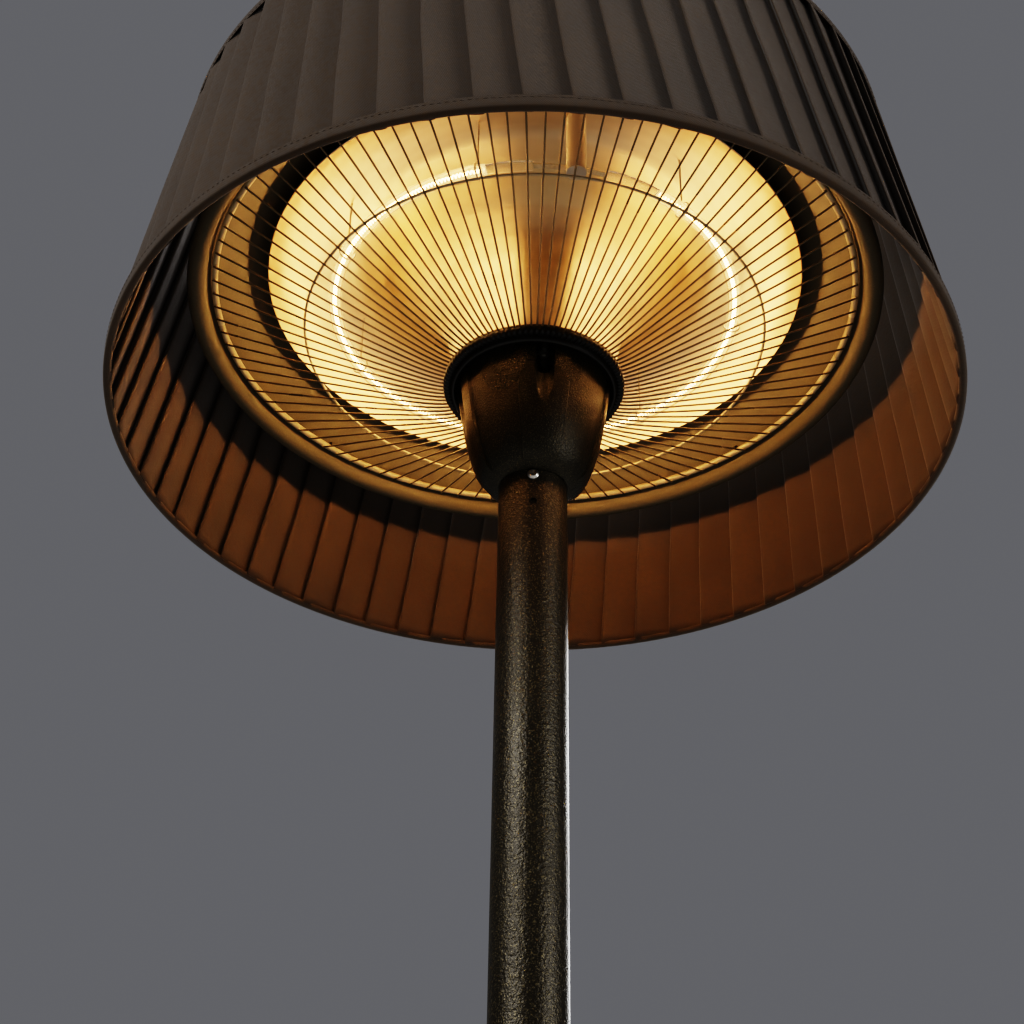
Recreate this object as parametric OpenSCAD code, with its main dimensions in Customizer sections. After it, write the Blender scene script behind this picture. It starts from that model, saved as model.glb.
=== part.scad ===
// Standing outdoor heater shaped like a floor lamp.
// A round weighted base carries a three-piece pole. On top sit a ring-shaped halogen lamp
// under a spun reflector and hood, a radial wire guard and a pleated fabric shade.
// The pole's axis is X = Y = 0, the floor is Z = 0 and the front of the heater faces -Y.
// Azimuths are measured from the front (-Y), positive towards +X.

/* [Overall] */
// Height of the shade's lower rim above the floor
rim_z = 1850; // [1700:10:2000]

/* [Base] */
// Outside diameter of the base cover
base_d = 480; // [430:5:560]
// Height of the base cover above the floor
base_h = 60; // [56:1:72]
// Thickness of the pressed steel base cover
cover_wall = 2; // [1.2:0.1:2.4]
// Thickness of the steel base plate
plate_t = 4; // [3:0.5:5]
// Height of the rubber feet
foot_h = 6; // [6:0.5:10]
// Diameter of the rubber feet
foot_d = 28; // [20:1:36]
// Radius of the circle that the feet stand on
foot_circle_r = 195; // [170:5:205]
// Number of rubber feet
foot_count = 6; // [4:1:8]
// Height of the cast concrete weight
weight_h = 30; // [26:1:32]
// Circle diameter of the four socket bolts
bolt_pcd = 96; // [92:1:104]
// Shank diameter of the socket bolts
bolt_d = 8; // [6:1:8]

/* [Pole] */
// Outside diameter of the pole tubes
pole_d = 48; // [44:0.5:50]
// Wall thickness of the pole tubes
pole_wall = 1.5; // [1.2:0.1:2]
// Wall thickness of the socket that holds the pole
socket_wall = 4; // [3:0.5:5]
// Height of the socket above its flange
socket_h = 56; // [45:1:80]
// Length of the sleeves inside the pole joints
sleeve_len = 120; // [80:5:160]
// Radial clearance between tubes that slide into each other
tube_clearance = 0.1; // [0.05:0.05:0.2]

/* [Switches] */
// Diameter of the foot switch button
button_d = 27; // [22:1:30]
// Travel of the foot switch button
button_travel = 4; // [2:0.5:5]
// Radial clearance around moving pins and buttons
moving_clearance = 0.4; // [0.35:0.05:0.6]
// Diameter of the tip-over plunger
plunger_d = 8; // [6:0.5:9]
// Travel of the tip-over plunger below the feet
plunger_travel = 5; // [3:0.5:5]

/* [Head] */
// Largest radius of the tulip-shaped hub cup
cup_top_r = 53.7; // [50:0.1:56]
// Number of raised panels on the cup
cup_panels = 4; // [3:1:6]
// Width of each raised panel in degrees
panel_angle = 42; // [30:1:50]
// Outside radius of the black hub flange that holds the guard wires
flange_r = 66; // [62:0.5:70]
// Radius of the guard's outer ring
guard_r = 239; // [225:1:243]
// Wire radius of the guard's outer ring
guard_ring_wire_r = 2.4; // [2:0.1:3]
// Radius of the guard's middle ring
guard_mid_r = 170.1; // [150:1:185]
// Wire radius of the guard's middle ring
guard_mid_wire_r = 1; // [0.8:0.1:1.8]
// Wire radius of the radial guard wires
guard_wire_r = 0.75; // [0.6:0.05:1.2]
// Number of radial guard wires
guard_wires_n = 104; // [60:4:120]
// Rise of the guard cone per millimetre of radius
guard_slope = 0.411; // [0.36:0.01:0.44]
// Thickness of the spun aluminium reflector
reflector_t = 0.8; // [0.6:0.1:1]
// Thickness of the steel hood
hood_t = 1; // [0.8:0.1:1.2]
// Radius of the hood's rolled brim
brim_roll_r = 7; // [5:0.5:8]

/* [Lamp] */
// Radius of the lamp ring's centreline
lamp_r = 150; // [140:1:155]
// Outside radius of the quartz tube
quartz_r = 5; // [4:0.25:6]
// Wall of the quartz tube
quartz_wall = 1.2; // [1:0.1:1.5]
// Radius of the filament coil
filament_r = 1.4; // [1:0.1:1.8]

/* [Shade] */
// Outside diameter of the shade at its lower rim
shade_bottom_d = 609; // [590:1:640]
// Outside diameter of the shade at its upper rim
shade_top_d = 544; // [535:1:600]
// Height of the pleated shade
shade_h = 240; // [236:1:290]
// Depth of the pleats, measured across the fabric
shade_wall = 6; // [5:0.5:8]
// Wire radius of the shade's two rings
shade_wire_r = 2; // [1.5:0.1:2.5]
// Number of spider arms that carry the shade
spider_arms = 3; // [3:1:4]

/* [Hidden] */
$fn = 96;

// small gap that keeps neighbouring pieces of one assembly apart
gap = 0.2;
reflector_flat_h = 163.2;
// cutting tools run this far past the faces that they cut
past = 1;

// base
plate_z = foot_h;
weight_z = plate_z + plate_t;
weight_top = weight_z + weight_h;
base_r = base_d / 2;
base_corner_r = 16;
base_edge_drop = 8;
weight_r = base_r - cover_wall - 22;
flange_t = 6;
bolt_r = bolt_d / 2;
bolt_head_h = 4;

// pole and joints
pole_r = pole_d / 2;
pole_bore_r = pole_r - pole_wall;
socket_r = pole_r + tube_clearance + socket_wall;
socket_flange_r = bolt_pcd / 2 + 12;
socket_top = base_h + flange_t + socket_h;
pole_foot_z = base_h + flange_t;
cup_seat_depth = 20;
cup_bottom_z = rim_z - 52;
cup_top_z = rim_z + 37;
pole_head_z = cup_bottom_z + cup_seat_depth;
pole_part = (pole_head_z - pole_foot_z) / 3;
sleeve_r = pole_bore_r - tube_clearance;
screw_head_r = 4;
screw_head_h = 2.4;
screw_r = 2;
lead_r = 3.2;

joint_offset = 30;
joint_screw_heights = [for (k = [1 : 2], s = [-1, 1]) pole_foot_z + k * pole_part + s * joint_offset];
top_screw_z = cup_bottom_z - 4.5;
spare_hole_z = cup_bottom_z - 27;

// hub cup: one scoop in each panel leads up to a screw's pocket
panel_az = 8.5;
cup_screw_r = 45.5;
scoop_r = 6.3;
scoop_tip_r = 54.5;
scoop_tip_h = -8;
scoop_lean = 2.8;
pocket_foot_h = 16;

// cable gland at the back of the base
gland_r = 7;
gland_nut_r = 11;
// the nut lies just below the cover's rounded corner
gland_z = base_h - base_edge_drop - base_corner_r - gland_nut_r + 0.8;

// stem inside the head
stem_r = sleeve_r;
stem_wall = 2;
stem_foot_z = cup_bottom_z - 70;
stem_top_z = rim_z + 200;

// guard
guard_angle = atan(guard_slope);
wire_hub_z = rim_z + 39.1;
wire_line_z = function (r) wire_hub_z + guard_slope * (r - 64.9);
ring_lift = function (ring_wire_r) (ring_wire_r + guard_wire_r) / cos(guard_angle);
wire_out_r = guard_r + 1.5;
guard_stud_r = 1.4;
stud_clearance = 0.38;

// lamp
lamp_z = rim_z + 113.5;
glass_from = 34;
glass_to = 347;
left_seal_end = 359.3;
right_seal_end = 18.7;
holder_az = 10.75;
holder_r = 7;
clip_azimuths = [43.5, 95, 145, 195, 245, 295, 344.5];

// hood and reflector outlines, radius and height above the shade's lower rim
hood_top_z = rim_z + 190;
reflector_line = [[59, 50], [61.5, 70], [66, 92], [75, 115], [90, 135], [110, 151],
                  [128, 160], [141, reflector_flat_h], [159, reflector_flat_h], [171, 160.5],
                  [183, 154.5], [193, 145.5], [200.8, 132.2]];
brim_centre = [251.8, 109.4];
brim_arc = [for (a = [190 : 13.5 : 352]) brim_centre + brim_roll_r * [cos(a), sin(a)]];
hood_line = concat([[24, 190], [60, 190], [100, 188], [135, 183], [160, 175.5], [185, 163],
                    [204, 148], [222, 133.5], [239, 118.9], [242.4, 116.2],
                    [243.9, 113.4]], brim_arc);

// lamp leads
lamp_lead_r = 1.6;
lead_entry_r = 44;

// posts that hold the reflector and the guard off the hood
post_azimuths = [60, 180, 300];
stud_azimuths = [45, 135, 225, 315];

// junction box above the hood
box_r = 55;
box_wall = 1.2;
box_top_z = hood_top_z + hood_t + 28;

// shade
spider_z = rim_z + shade_h - 5;
spider_t = 3;
shade_bottom_r = shade_bottom_d / 2;
shade_top_r = shade_top_d / 2;
shade_out_r = function (h) shade_bottom_r + (shade_top_r - shade_bottom_r) * h / shade_h;
hem_ring_r = shade_bottom_r - shade_wall / 2 - 0.1;
stud_r = 4;
ring_seat = 1.5;

// foot switch and tip-over switch places
button_y = -125;
tilt_x = 130;
tilt_seat_z = weight_z + 6;
tilt_body_r = 14;
button_r = button_d / 2;
button_z = base_h - 11;
plunger_r = plunger_d / 2;
plunger_collar_z = tilt_seat_z + plunger_travel + 1;

// turns +X towards an azimuth measured from the front
module at_azimuth(a) rotate([0, 0, a - 90]) children();

// a round ring of wire
module wire_ring(ring_r, wire_r, z) {
    translate([0, 0, z]) rotate_extrude($fn = 180) translate([ring_r, 0]) circle(r = wire_r, $fn = 32);
}

// a tube standing on z
module tube(outer_r, inner_r, z, length) {
    translate([0, 0, z]) difference() {
        cylinder(r = outer_r, h = length);
        translate([0, 0, -past]) cylinder(r = inner_r, h = length + 2 * past);
    }
}

// the outline's direction at point i, from one neighbour to the other
function along(line, i) = line[min(i + 1, len(line) - 1)] - line[max(i - 1, 0)];

// point i moved off the outline, at right angles to it and away from the lamp
function lifted(line, i, t) =
    let (d = along(line, i)) line[i] + t * [-d[1], d[0]] / norm(d);

// a thin shell of revolution: a line of [radius, height] points, thickened away from the lamp
module spun_shell(line, thickness) {
    back = [for (i = [len(line) - 1 : -1 : 0]) lifted(line, i, thickness)];
    translate([0, 0, rim_z]) rotate_extrude($fn = 180) polygon(concat(line, back));
}

// a compression spring: a wire swept along a helix
module coil_spring(coil_r, wire_r, z, length, turns) {
    steps = 16;
    sides = 8;
    rings = turns * steps;
    points = [for (i = [0 : rings], k = [0 : sides - 1])
        let (turn = 360 * i / steps, around = 360 * k / sides, r = coil_r + wire_r * cos(around))
        [r * cos(turn), r * sin(turn), z + wire_r + (length - 2 * wire_r) * i / rings + wire_r * sin(around)]];
    sides_faces = [for (i = [0 : rings - 1], k = [0 : sides - 1])
        let (a = i * sides + k, b = i * sides + (k + 1) % sides)
        [a, a + sides, b + sides, b]];
    first_face = [[for (k = [0 : sides - 1]) k]];
    last_face = [[for (k = [sides - 1 : -1 : 0]) rings * sides + k]];
    polyhedron(points = points, faces = concat(sides_faces, first_face, last_face));
}

// places the four socket bolts
module at_socket_bolts() {
    for (k = [0 : 3]) rotate([0, 0, 45 + 90 * k]) translate([bolt_pcd / 2, 0, 0]) children();
}

// ---- base ----

module rubber_feet() {
    color("#1c1c1c") for (k = [0 : foot_count - 1])
        rotate([0, 0, 360 * (k + 0.5) / foot_count]) translate([foot_circle_r, 0, 0])
            rotate_extrude() polygon([[0, 0], [foot_d / 2 - 2, 0], [foot_d / 2, foot_h], [0, foot_h]]);
}

module base_plate() {
    color("#2b2824") translate([0, 0, plate_z]) difference() {
        cylinder(r = base_r - cover_wall - 0.3, h = plate_t);
        at_socket_bolts() translate([0, 0, -past]) cylinder(r = bolt_r + gap, h = plate_t + 2 * past);
        translate([tilt_x, 0, -past]) cylinder(r = plunger_r + moving_clearance, h = plate_t + 2 * past);
    }
}

module base_weight() {
    color("#3a3a3a") translate([0, 0, weight_z]) difference() {
        cylinder(r = weight_r, h = weight_h);
        at_socket_bolts() translate([0, 0, -past]) cylinder(r = bolt_r + gap, h = weight_h + 2 * past);
        translate([0, button_y, -past]) cylinder(r = button_r + 8, h = weight_h + 2 * past);
        translate([tilt_x, 0, -past]) cylinder(r = tilt_body_r + gap, h = weight_h + 2 * past);
        translate([0, 0, -past]) cylinder(r = 12, h = weight_h + 2 * past);
        translate([-8, 0, weight_h - 9]) cube([16, weight_r + past, 9 + past]);
    }
}

module base_cover() {
    flat_r = 150;
    slope_r = base_r - base_corner_r;
    outer = concat([[0, base_h], [flat_r, base_h]],
        [for (a = [80 : -10 : 0]) [slope_r + base_corner_r * cos(a),
                                   base_h - base_edge_drop - base_corner_r * (1 - sin(a))]],
        [[base_r, plate_z]]);
    inner = concat([[base_r - cover_wall, plate_z]],
        [for (a = [0 : 10 : 80]) [slope_r + (base_corner_r - cover_wall) * cos(a),
                                  base_h - base_edge_drop - cover_wall
                                  - (base_corner_r - cover_wall) * (1 - sin(a))]],
        [[flat_r, base_h - cover_wall], [0, base_h - cover_wall]]);
    color("#2b2824") difference() {
        rotate_extrude($fn = 180) polygon(concat(outer, inner));
        at_socket_bolts() cylinder(r = bolt_r + gap, h = base_h + past);
        cylinder(r = 12, h = base_h + past);
        translate([0, button_y, weight_top]) cylinder(r = button_r + 3 + gap, h = base_h);
        translate([0, base_r - 30, gland_z]) rotate([-90, 0, 0]) cylinder(r = gland_r + gap, h = 40);
    }
}

module pole_socket() {
    color("#2b2824") difference() {
        union() {
            translate([0, 0, base_h]) cylinder(r = socket_flange_r, h = flange_t);
            translate([0, 0, base_h]) cylinder(r = socket_r, h = socket_top - base_h);
            translate([0, 0, base_h + flange_t]) cylinder(r1 = socket_r + 5, r2 = socket_r, h = 5);
        }
        translate([0, 0, pole_foot_z]) cylinder(r = pole_r + tube_clearance, h = socket_h + past);
        translate([0, 0, base_h - past]) cylinder(r = 12, h = flange_t + 2 * past);
        at_socket_bolts() translate([0, 0, base_h - past])
            cylinder(r = bolt_r + gap, h = flange_t + 2 * past);
        for (side = [90, 210, 330]) at_azimuth(side) translate([pole_r, 0, socket_top - 20])
            rotate([0, 90, 0]) cylinder(r = 3 + gap, h = 20);
    }
}

module socket_bolts() {
    bolt_len = base_h + flange_t + 8 - plate_z;
    color("silver") at_socket_bolts() {
        translate([0, 0, plate_z - bolt_head_h]) cylinder(r = 6.5, h = bolt_head_h, $fn = 6);
        translate([0, 0, plate_z]) cylinder(r = bolt_r, h = bolt_len);
    }
}

module socket_nuts() {
    color("silver") at_socket_bolts() translate([0, 0, base_h + flange_t]) difference() {
        union() {
            cylinder(r = 7.5, h = 6.5, $fn = 6);
            translate([0, 0, 6.5]) cylinder(r1 = 6, r2 = 3, h = 4.5);
        }
        translate([0, 0, -past]) cylinder(r = bolt_r + 0.02, h = 8.2 + past);
    }
}

module socket_screws() {
    color("silver") for (side = [90, 210, 330]) at_azimuth(side)
        translate([pole_r, 0, socket_top - 20]) rotate([0, 90, 0]) difference() {
            union() {
                cylinder(r = 3, h = socket_r - pole_r + 1);
                translate([0, 0, socket_r - pole_r]) cylinder(r = 5, h = 3);
            }
            translate([0, 0, socket_r - pole_r + 1]) cylinder(r = 1.6, h = 3, $fn = 6);
        }
}

// ---- switches in the base ----

module foot_switch_body() {
    well_z = button_z - button_travel - 1;
    color("#151515") translate([0, button_y, 0]) difference() {
        union() {
            translate([0, 0, weight_z + 4]) cylinder(r = button_r + 3, h = base_h - weight_z - 4);
            translate([0, 0, base_h]) cylinder(r = button_r + 7, h = 2);
            translate([0, 0, base_h + 2]) cylinder(r1 = button_r + 7, r2 = button_r + 4, h = 1.5);
        }
        translate([0, 0, well_z]) cylinder(r = button_r + moving_clearance, h = base_h);
        translate([0, 0, weight_z + 10]) cylinder(r = 8, h = well_z);
    }
}

module foot_switch_button() {
    dome_r = 24;
    cap_z = base_h + 9;
    color("#101010") translate([0, button_y, 0]) intersection() {
        translate([0, 0, button_z]) cylinder(r = button_r, h = cap_z - button_z);
        translate([0, 0, cap_z - dome_r]) sphere(r = dome_r);
    }
}

module foot_switch_spring() {
    color("silver") translate([0, button_y, 0])
        coil_spring(5.5, 0.6, weight_z + 10, button_z - weight_z - 10, 7);
}

module tilt_switch_body() {
    color("#e8e4da") translate([tilt_x, 0, 0]) difference() {
        translate([0, 0, weight_z]) cylinder(r = tilt_body_r, h = weight_h + 8);
        translate([0, 0, weight_z - past]) cylinder(r = plunger_r + moving_clearance, h = 10);
        translate([0, 0, tilt_seat_z]) cylinder(r = plunger_r + 4 + moving_clearance, h = 26);
    }
}

module tilt_plunger() {
    color("#c0392b") translate([tilt_x, 0, 0]) {
        translate([0, 0, 0]) cylinder(r1 = plunger_r - 1, r2 = plunger_r, h = 1);
        translate([0, 0, 1]) cylinder(r = plunger_r, h = plunger_collar_z - 1);
        translate([0, 0, plunger_collar_z]) cylinder(r = plunger_r + 4, h = 3);
        translate([0, 0, plunger_collar_z + 3]) cylinder(r = plunger_r - 1.4, h = 5);
    }
}

module tilt_plunger_spring() {
    spring_z = plunger_collar_z + 3;
    color("silver") translate([tilt_x, 0, 0])
        coil_spring(plunger_r + 1, 0.5, spring_z, tilt_seat_z + 26 - spring_z, 5);
}

module cable_gland() {
    color("#151515") translate([0, base_r, gland_z]) rotate([-90, 0, 0]) difference() {
        union() {
            translate([0, 0, -14]) cylinder(r = gland_r, h = 14);
            cylinder(r = 12, h = 6, $fn = 6);
            translate([0, 0, 6]) cylinder(r1 = 9.5, r2 = 7, h = 9);
        }
        translate([0, 0, -15]) cylinder(r = 3.8, h = 40);
    }
}

module gland_nut() {
    color("#151515") translate([0, base_r - cover_wall - 5.5, gland_z]) rotate([-90, 0, 0]) difference() {
        cylinder(r = gland_nut_r, h = 5, $fn = 6);
        translate([0, 0, -past]) cylinder(r = gland_r + 0.02, h = 5 + 2 * past);
    }
}

// ---- pole ----

module pole_tube(index) {
    foot_z = pole_foot_z + index * pole_part;
    color("#2b2824") difference() {
        tube(pole_r, pole_bore_r, foot_z, pole_part - (index < 2 ? gap : 0));
        for (z = joint_screw_heights)
            at_azimuth(180) translate([0, 0, z]) rotate([0, 90, 0]) cylinder(r = screw_r + 0.1, h = pole_d);
        for (z = [top_screw_z, spare_hole_z])
            at_azimuth(0) translate([0, 0, z]) rotate([0, 90, 0])
                cylinder(r = z == top_screw_z ? screw_r + 0.1 : 2.8, h = pole_d);
    }
}

module lower_pole() pole_tube(0);

module middle_pole() pole_tube(1);

module upper_pole() pole_tube(2);

module joint_sleeve(index) {
    mid_z = pole_foot_z + index * pole_part;
    color("silver") difference() {
        tube(sleeve_r, sleeve_r - 1.5, mid_z - sleeve_len / 2, sleeve_len);
        for (z = joint_screw_heights) at_azimuth(180) translate([0, 0, z])
            rotate([0, 90, 0]) cylinder(r = screw_r + 0.1, h = pole_d);
    }
}

module lower_joint_sleeve() joint_sleeve(1);

module upper_joint_sleeve() joint_sleeve(2);

// a pan-head screw that points along -X, with its head's underside at x = pole_r
module pan_screw(shank_len) {
    translate([pole_r, 0, 0]) rotate([0, 90, 0]) difference() {
        union() {
            translate([0, 0, 0.05]) cylinder(r = screw_head_r, h = 0.9);
            translate([0, 0, 0.95]) cylinder(r1 = screw_head_r, r2 = 2.6, h = screw_head_h - 0.95);
            translate([0, 0, -shank_len]) cylinder(r = screw_r, h = shank_len + 0.5);
        }
        for (turn = [0, 90]) rotate([0, 0, turn])
            translate([-1.9, -0.45, screw_head_h - 1.1]) cube([3.8, 0.9, 2]);
    }
}

module joint_screws() {
    color("silver") for (z = joint_screw_heights) at_azimuth(180) translate([0, 0, z]) pan_screw(4);
}

module pole_top_screw() {
    color("silver") at_azimuth(0) translate([0, 0, top_screw_z]) pan_screw(5);
}

module supply_lead() {
    lead_top = hood_top_z + hood_t + 6;
    color("#1a1a1a") translate([0, 0, weight_top + 4])
        cylinder(r = lead_r, h = lead_top - weight_top - 4, $fn = 24);
}

// ---- head ----

module head_stem() {
    color("silver") difference() {
        tube(stem_r, stem_r - stem_wall, stem_foot_z, stem_top_z - stem_foot_z);
        at_azimuth(0) translate([0, 0, top_screw_z]) rotate([0, 90, 0])
            cylinder(r = screw_r + 0.1, h = pole_d);
    }
}

// the cup's side from its seat on the pole up to its top edge, pushed out by a raise
function cup_side(raise) = [
    [pole_r + 1.2 + raise, -52], [33.2 + raise, -46.5], [38.8 + raise, -36.5], [43.6 + raise, -22],
    [46.8 + raise, -8], [50.2 + raise, 11], [cup_top_r + raise, 37]];

module hub_cup() {
    color("#211d19") difference() {
        union() {
            translate([0, 0, rim_z]) rotate_extrude()
                polygon(concat([[0, 37], [0, -52]], cup_side(0)));
            for (k = [0 : cup_panels - 1])
                at_azimuth(panel_az + 360 * k / cup_panels - panel_angle / 2) translate([0, 0, rim_z])
                    rotate_extrude(angle = panel_angle)
                        polygon(concat([[20, 35], [20, -49]],
                                       [for (p = cup_side(1.4)) [p[0], max(-49, min(35, p[1]))]]));
        }
        translate([0, 0, cup_bottom_z - past])
            cylinder(r = pole_r + tube_clearance, h = cup_seat_depth + past);
        translate([0, 0, cup_bottom_z]) cylinder(r = stem_r + gap, h = 100);
        translate([0, 0, rim_z - 20]) cylinder(r = 33, h = 80);
        for (k = [0 : cup_panels - 1]) at_azimuth(panel_az + 360 * k / cup_panels) {
            translate([scoop_tip_r, 0, rim_z + scoop_tip_h]) rotate([0, -scoop_lean, 0])
                cylinder(r = scoop_r, h = 60);
            translate([cup_screw_r, 0, rim_z + pocket_foot_h]) cylinder(r = 4.6, h = 40);
        }
    }
}

module cup_screws() {
    color("silver") for (k = [0 : cup_panels - 1]) at_azimuth(panel_az + 360 * k / cup_panels)
        translate([cup_screw_r, 0, rim_z + 33]) difference() {
            union() {
                cylinder(r = 4, h = 4 - gap);
                translate([0, 0, 3]) cylinder(r = 1.8, h = 7);
            }
            translate([0, 0, -past]) cylinder(r = 1.6, h = 2.5, $fn = 6);
        }
}

module hub_flange() {
    ribs = 72;
    color("#141210") difference() {
        union() {
            translate([0, 0, rim_z + 37]) rotate_extrude()
                polygon([[34, 0], [56.5, 0], [58, -3], [60.5, -3], [61, 0], [flange_r, 1],
                         [flange_r, 7], [57.5, 11], [34, 11]]);
            for (k = [0 : ribs - 1]) rotate([0, 0, 360 * k / ribs])
                translate([60.8, -0.5, rim_z + 35.6]) cube([4.6, 1, 3.4]);
        }
        for (k = [0 : cup_panels - 1]) at_azimuth(panel_az + 360 * k / cup_panels)
            translate([cup_screw_r, 0, rim_z]) cylinder(r = 1.8 + gap, h = 45);
        for (side = [90, -90]) at_azimuth(side) translate([46, 0, rim_z + 30]) cylinder(r = 2, h = 30);
    }
}

module guard_wires() {
    first_r = flange_r + 0.05;
    wire_len = (wire_out_r - first_r) / cos(guard_angle);
    color("#0e0d0c") for (k = [0 : guard_wires_n - 1])
        rotate([0, 0, 360 * (k + 0.5) / guard_wires_n])
            translate([first_r + guard_wire_r * sin(guard_angle), 0, wire_line_z(first_r)])
                rotate([0, 90 - guard_angle, 0]) cylinder(r = guard_wire_r, h = wire_len, $fn = 16);
}

module guard_mid_ring() {
    color("#0e0d0c") wire_ring(guard_mid_r, guard_mid_wire_r,
                               wire_line_z(guard_mid_r) + ring_lift(guard_mid_wire_r) + 0.02);
}

module guard_outer_ring() {
    color("#0e0d0c") wire_ring(guard_r, guard_ring_wire_r,
                               wire_line_z(guard_r) + ring_lift(guard_ring_wire_r) + 0.02);
}

module reflector() {
    color("#d8b36a") difference() {
        spun_shell(reflector_line, reflector_t);
        at_azimuth(holder_az) translate([lamp_r, 0, rim_z + 120]) cylinder(r = holder_r - 2, h = 80);
    }
}

module hood() {
    color("#33291c") difference() {
        spun_shell(hood_line, hood_t);
        at_azimuth(holder_az) translate([lead_entry_r, 0, rim_z + 120]) cylinder(r = 3, h = 80);
    }
}

module reflector_spacers() {
    color("#b9b4a8") for (a = post_azimuths) at_azimuth(a)
        translate([lamp_r, 0, rim_z + reflector_flat_h + reflector_t + 0.02]) cylinder(r = 3, h = 13.3);
}

// each stud fills the room between the guard's outer ring and the hood's underside
module guard_studs() {
    ring_top_z = wire_line_z(guard_r) + ring_lift(guard_ring_wire_r) + guard_ring_wire_r + 0.04;
    hood_under_z = rim_z + lookup(guard_r - 1 + guard_stud_r, hood_line);
    color("#0e0d0c") for (a = stud_azimuths) at_azimuth(a)
        translate([guard_r - 1, 0, ring_top_z])
            cylinder(r = guard_stud_r, h = hood_under_z - stud_clearance - ring_top_z);
}

// ---- lamp ----

// an arc of the lamp ring between two azimuths
module lamp_arc(from, to) {
    at_azimuth(from) translate([0, 0, lamp_z]) rotate_extrude(angle = to - from, $fn = 180) children();
}

module lamp_tube() {
    color("#fff2cc", 0.5) lamp_arc(glass_from, glass_to) translate([lamp_r, 0]) difference() {
        circle(r = quartz_r, $fn = 32);
        circle(r = quartz_r - quartz_wall, $fn = 32);
    }
}

module lamp_filament() {
    color("#ffd37a") lamp_arc(glass_from + 0.2, glass_to - 0.2)
        translate([lamp_r, 0]) circle(r = filament_r, $fn = 24);
}

module lamp_end_seals() {
    color("#f4ead2") {
        lamp_arc(glass_to + 0.05, left_seal_end) translate([lamp_r - 5, -1.6]) square([10, 3.2]);
        lamp_arc(right_seal_end, glass_from - 0.05) translate([lamp_r - 5, -1.6]) square([10, 3.2]);
    }
}

module lamp_lead_strips() {
    holder_half = asin((holder_r + 0.05) / lamp_r);
    color("silver") {
        lamp_arc(left_seal_end - 360 + 0.05, holder_az - holder_half)
            translate([lamp_r - 2, -0.4]) square([4, 0.8]);
        lamp_arc(holder_az + holder_half, right_seal_end - 0.05)
            translate([lamp_r - 2, -0.4]) square([4, 0.8]);
    }
}

module lamp_holder() {
    post_top = rim_z + reflector_flat_h - 0.05;
    color("#f0e6d0") at_azimuth(holder_az) translate([lamp_r, 0, lamp_z - 4]) difference() {
        cylinder(r = holder_r, h = post_top - lamp_z + 4);
        translate([0, 0, 10]) cylinder(r = 2.6, h = 80);
    }
}

module lamp_clips() {
    wire_r = 0.7;
    loop_r = quartz_r + wire_r + 0.1;
    clip_top = rim_z + reflector_flat_h - 0.05;
    color("#8a8378") for (a = clip_azimuths) at_azimuth(a) translate([lamp_r, 0, lamp_z]) {
        rotate([90, 0, 0]) rotate_extrude($fn = 48) translate([loop_r, 0]) circle(r = wire_r, $fn = 16);
        translate([0, 0, loop_r]) cylinder(r = wire_r, h = clip_top - lamp_z - loop_r, $fn = 16);
    }
}

module lamp_leads() {
    color("#e8e0cc") {
        at_azimuth(holder_az) translate([lamp_r, 0, lamp_z + 7])
            cylinder(r = lamp_lead_r, h = rim_z + 172 - lamp_z - 7, $fn = 24);
        at_azimuth(holder_az) translate([lead_entry_r, 0, rim_z + 172]) rotate([0, 90, 0])
            cylinder(r = lamp_lead_r, h = lamp_r - lead_entry_r, $fn = 24);
        at_azimuth(holder_az) translate([lead_entry_r, 0, rim_z + 172])
            cylinder(r = lamp_lead_r, h = 30, $fn = 24);
    }
}

// ---- wiring space above the hood ----

module junction_box() {
    color("#2b2824") translate([0, 0, hood_top_z + hood_t + 0.05]) difference() {
        cylinder(r = box_r, h = box_top_z - hood_top_z - hood_t);
        translate([0, 0, box_wall]) cylinder(r = box_r - box_wall, h = 60);
        translate([0, 0, -past]) cylinder(r = stem_r + gap, h = 20);
        at_azimuth(holder_az) translate([lead_entry_r, 0, -past]) cylinder(r = 3, h = 5);
    }
}

module junction_box_lid() {
    color("#2b2824") translate([0, 0, box_top_z + 0.1]) difference() {
        union() {
            cylinder(r = box_r + 1.5, h = 1.5);
            translate([0, 0, 1.5]) cylinder(r1 = 18, r2 = 12, h = 3);
        }
        translate([0, 0, -past]) cylinder(r = stud_r + gap, h = 20);
        for (side = [0, 120, 240]) at_azimuth(side) translate([box_r - 9, 0, -past]) cylinder(r = 2.2, h = 5);
    }
}

module lid_screws() {
    color("silver") for (side = [0, 120, 240]) at_azimuth(side)
        translate([box_r - 9, 0, box_top_z + 1.7]) {
            cylinder(r1 = 4, r2 = 3, h = 2);
            translate([0, 0, -12]) cylinder(r = 2, h = 12.5);
        }
}

module terminal_block() {
    ways = 3;
    pitch = 10;
    color("#efe9dc") translate([28, -ways * pitch / 2, hood_top_z + hood_t + box_wall + 0.2]) difference() {
        cube([16, ways * pitch, 14]);
        for (k = [0 : ways - 1]) translate([8, pitch * (k + 0.5), 4]) cylinder(r = 2.2, h = 20);
    }
}

module thermal_cutout() {
    color("#8f8f8f") translate([-38, 0, hood_top_z + hood_t + box_wall + 0.2]) {
        cylinder(r = 8, h = 7);
        translate([-5, -2, 7]) cube([2, 4, 6]);
        translate([3, -2, 7]) cube([2, 4, 6]);
    }
}

module stem_nut() {
    color("silver") translate([0, 0, hood_top_z + hood_t + box_wall + 0.2]) difference() {
        cylinder(r = 27.5, h = 5, $fn = 6);
        translate([0, 0, -past]) cylinder(r = stem_r + 0.02, h = 10);
    }
}

// ---- shade and its carrier ----

module shade_stud() {
    stud_top = spider_z + spider_t + 12;
    color("silver") translate([0, 0, box_top_z - 4]) cylinder(r = stud_r, h = stud_top - box_top_z + 4);
}

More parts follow.
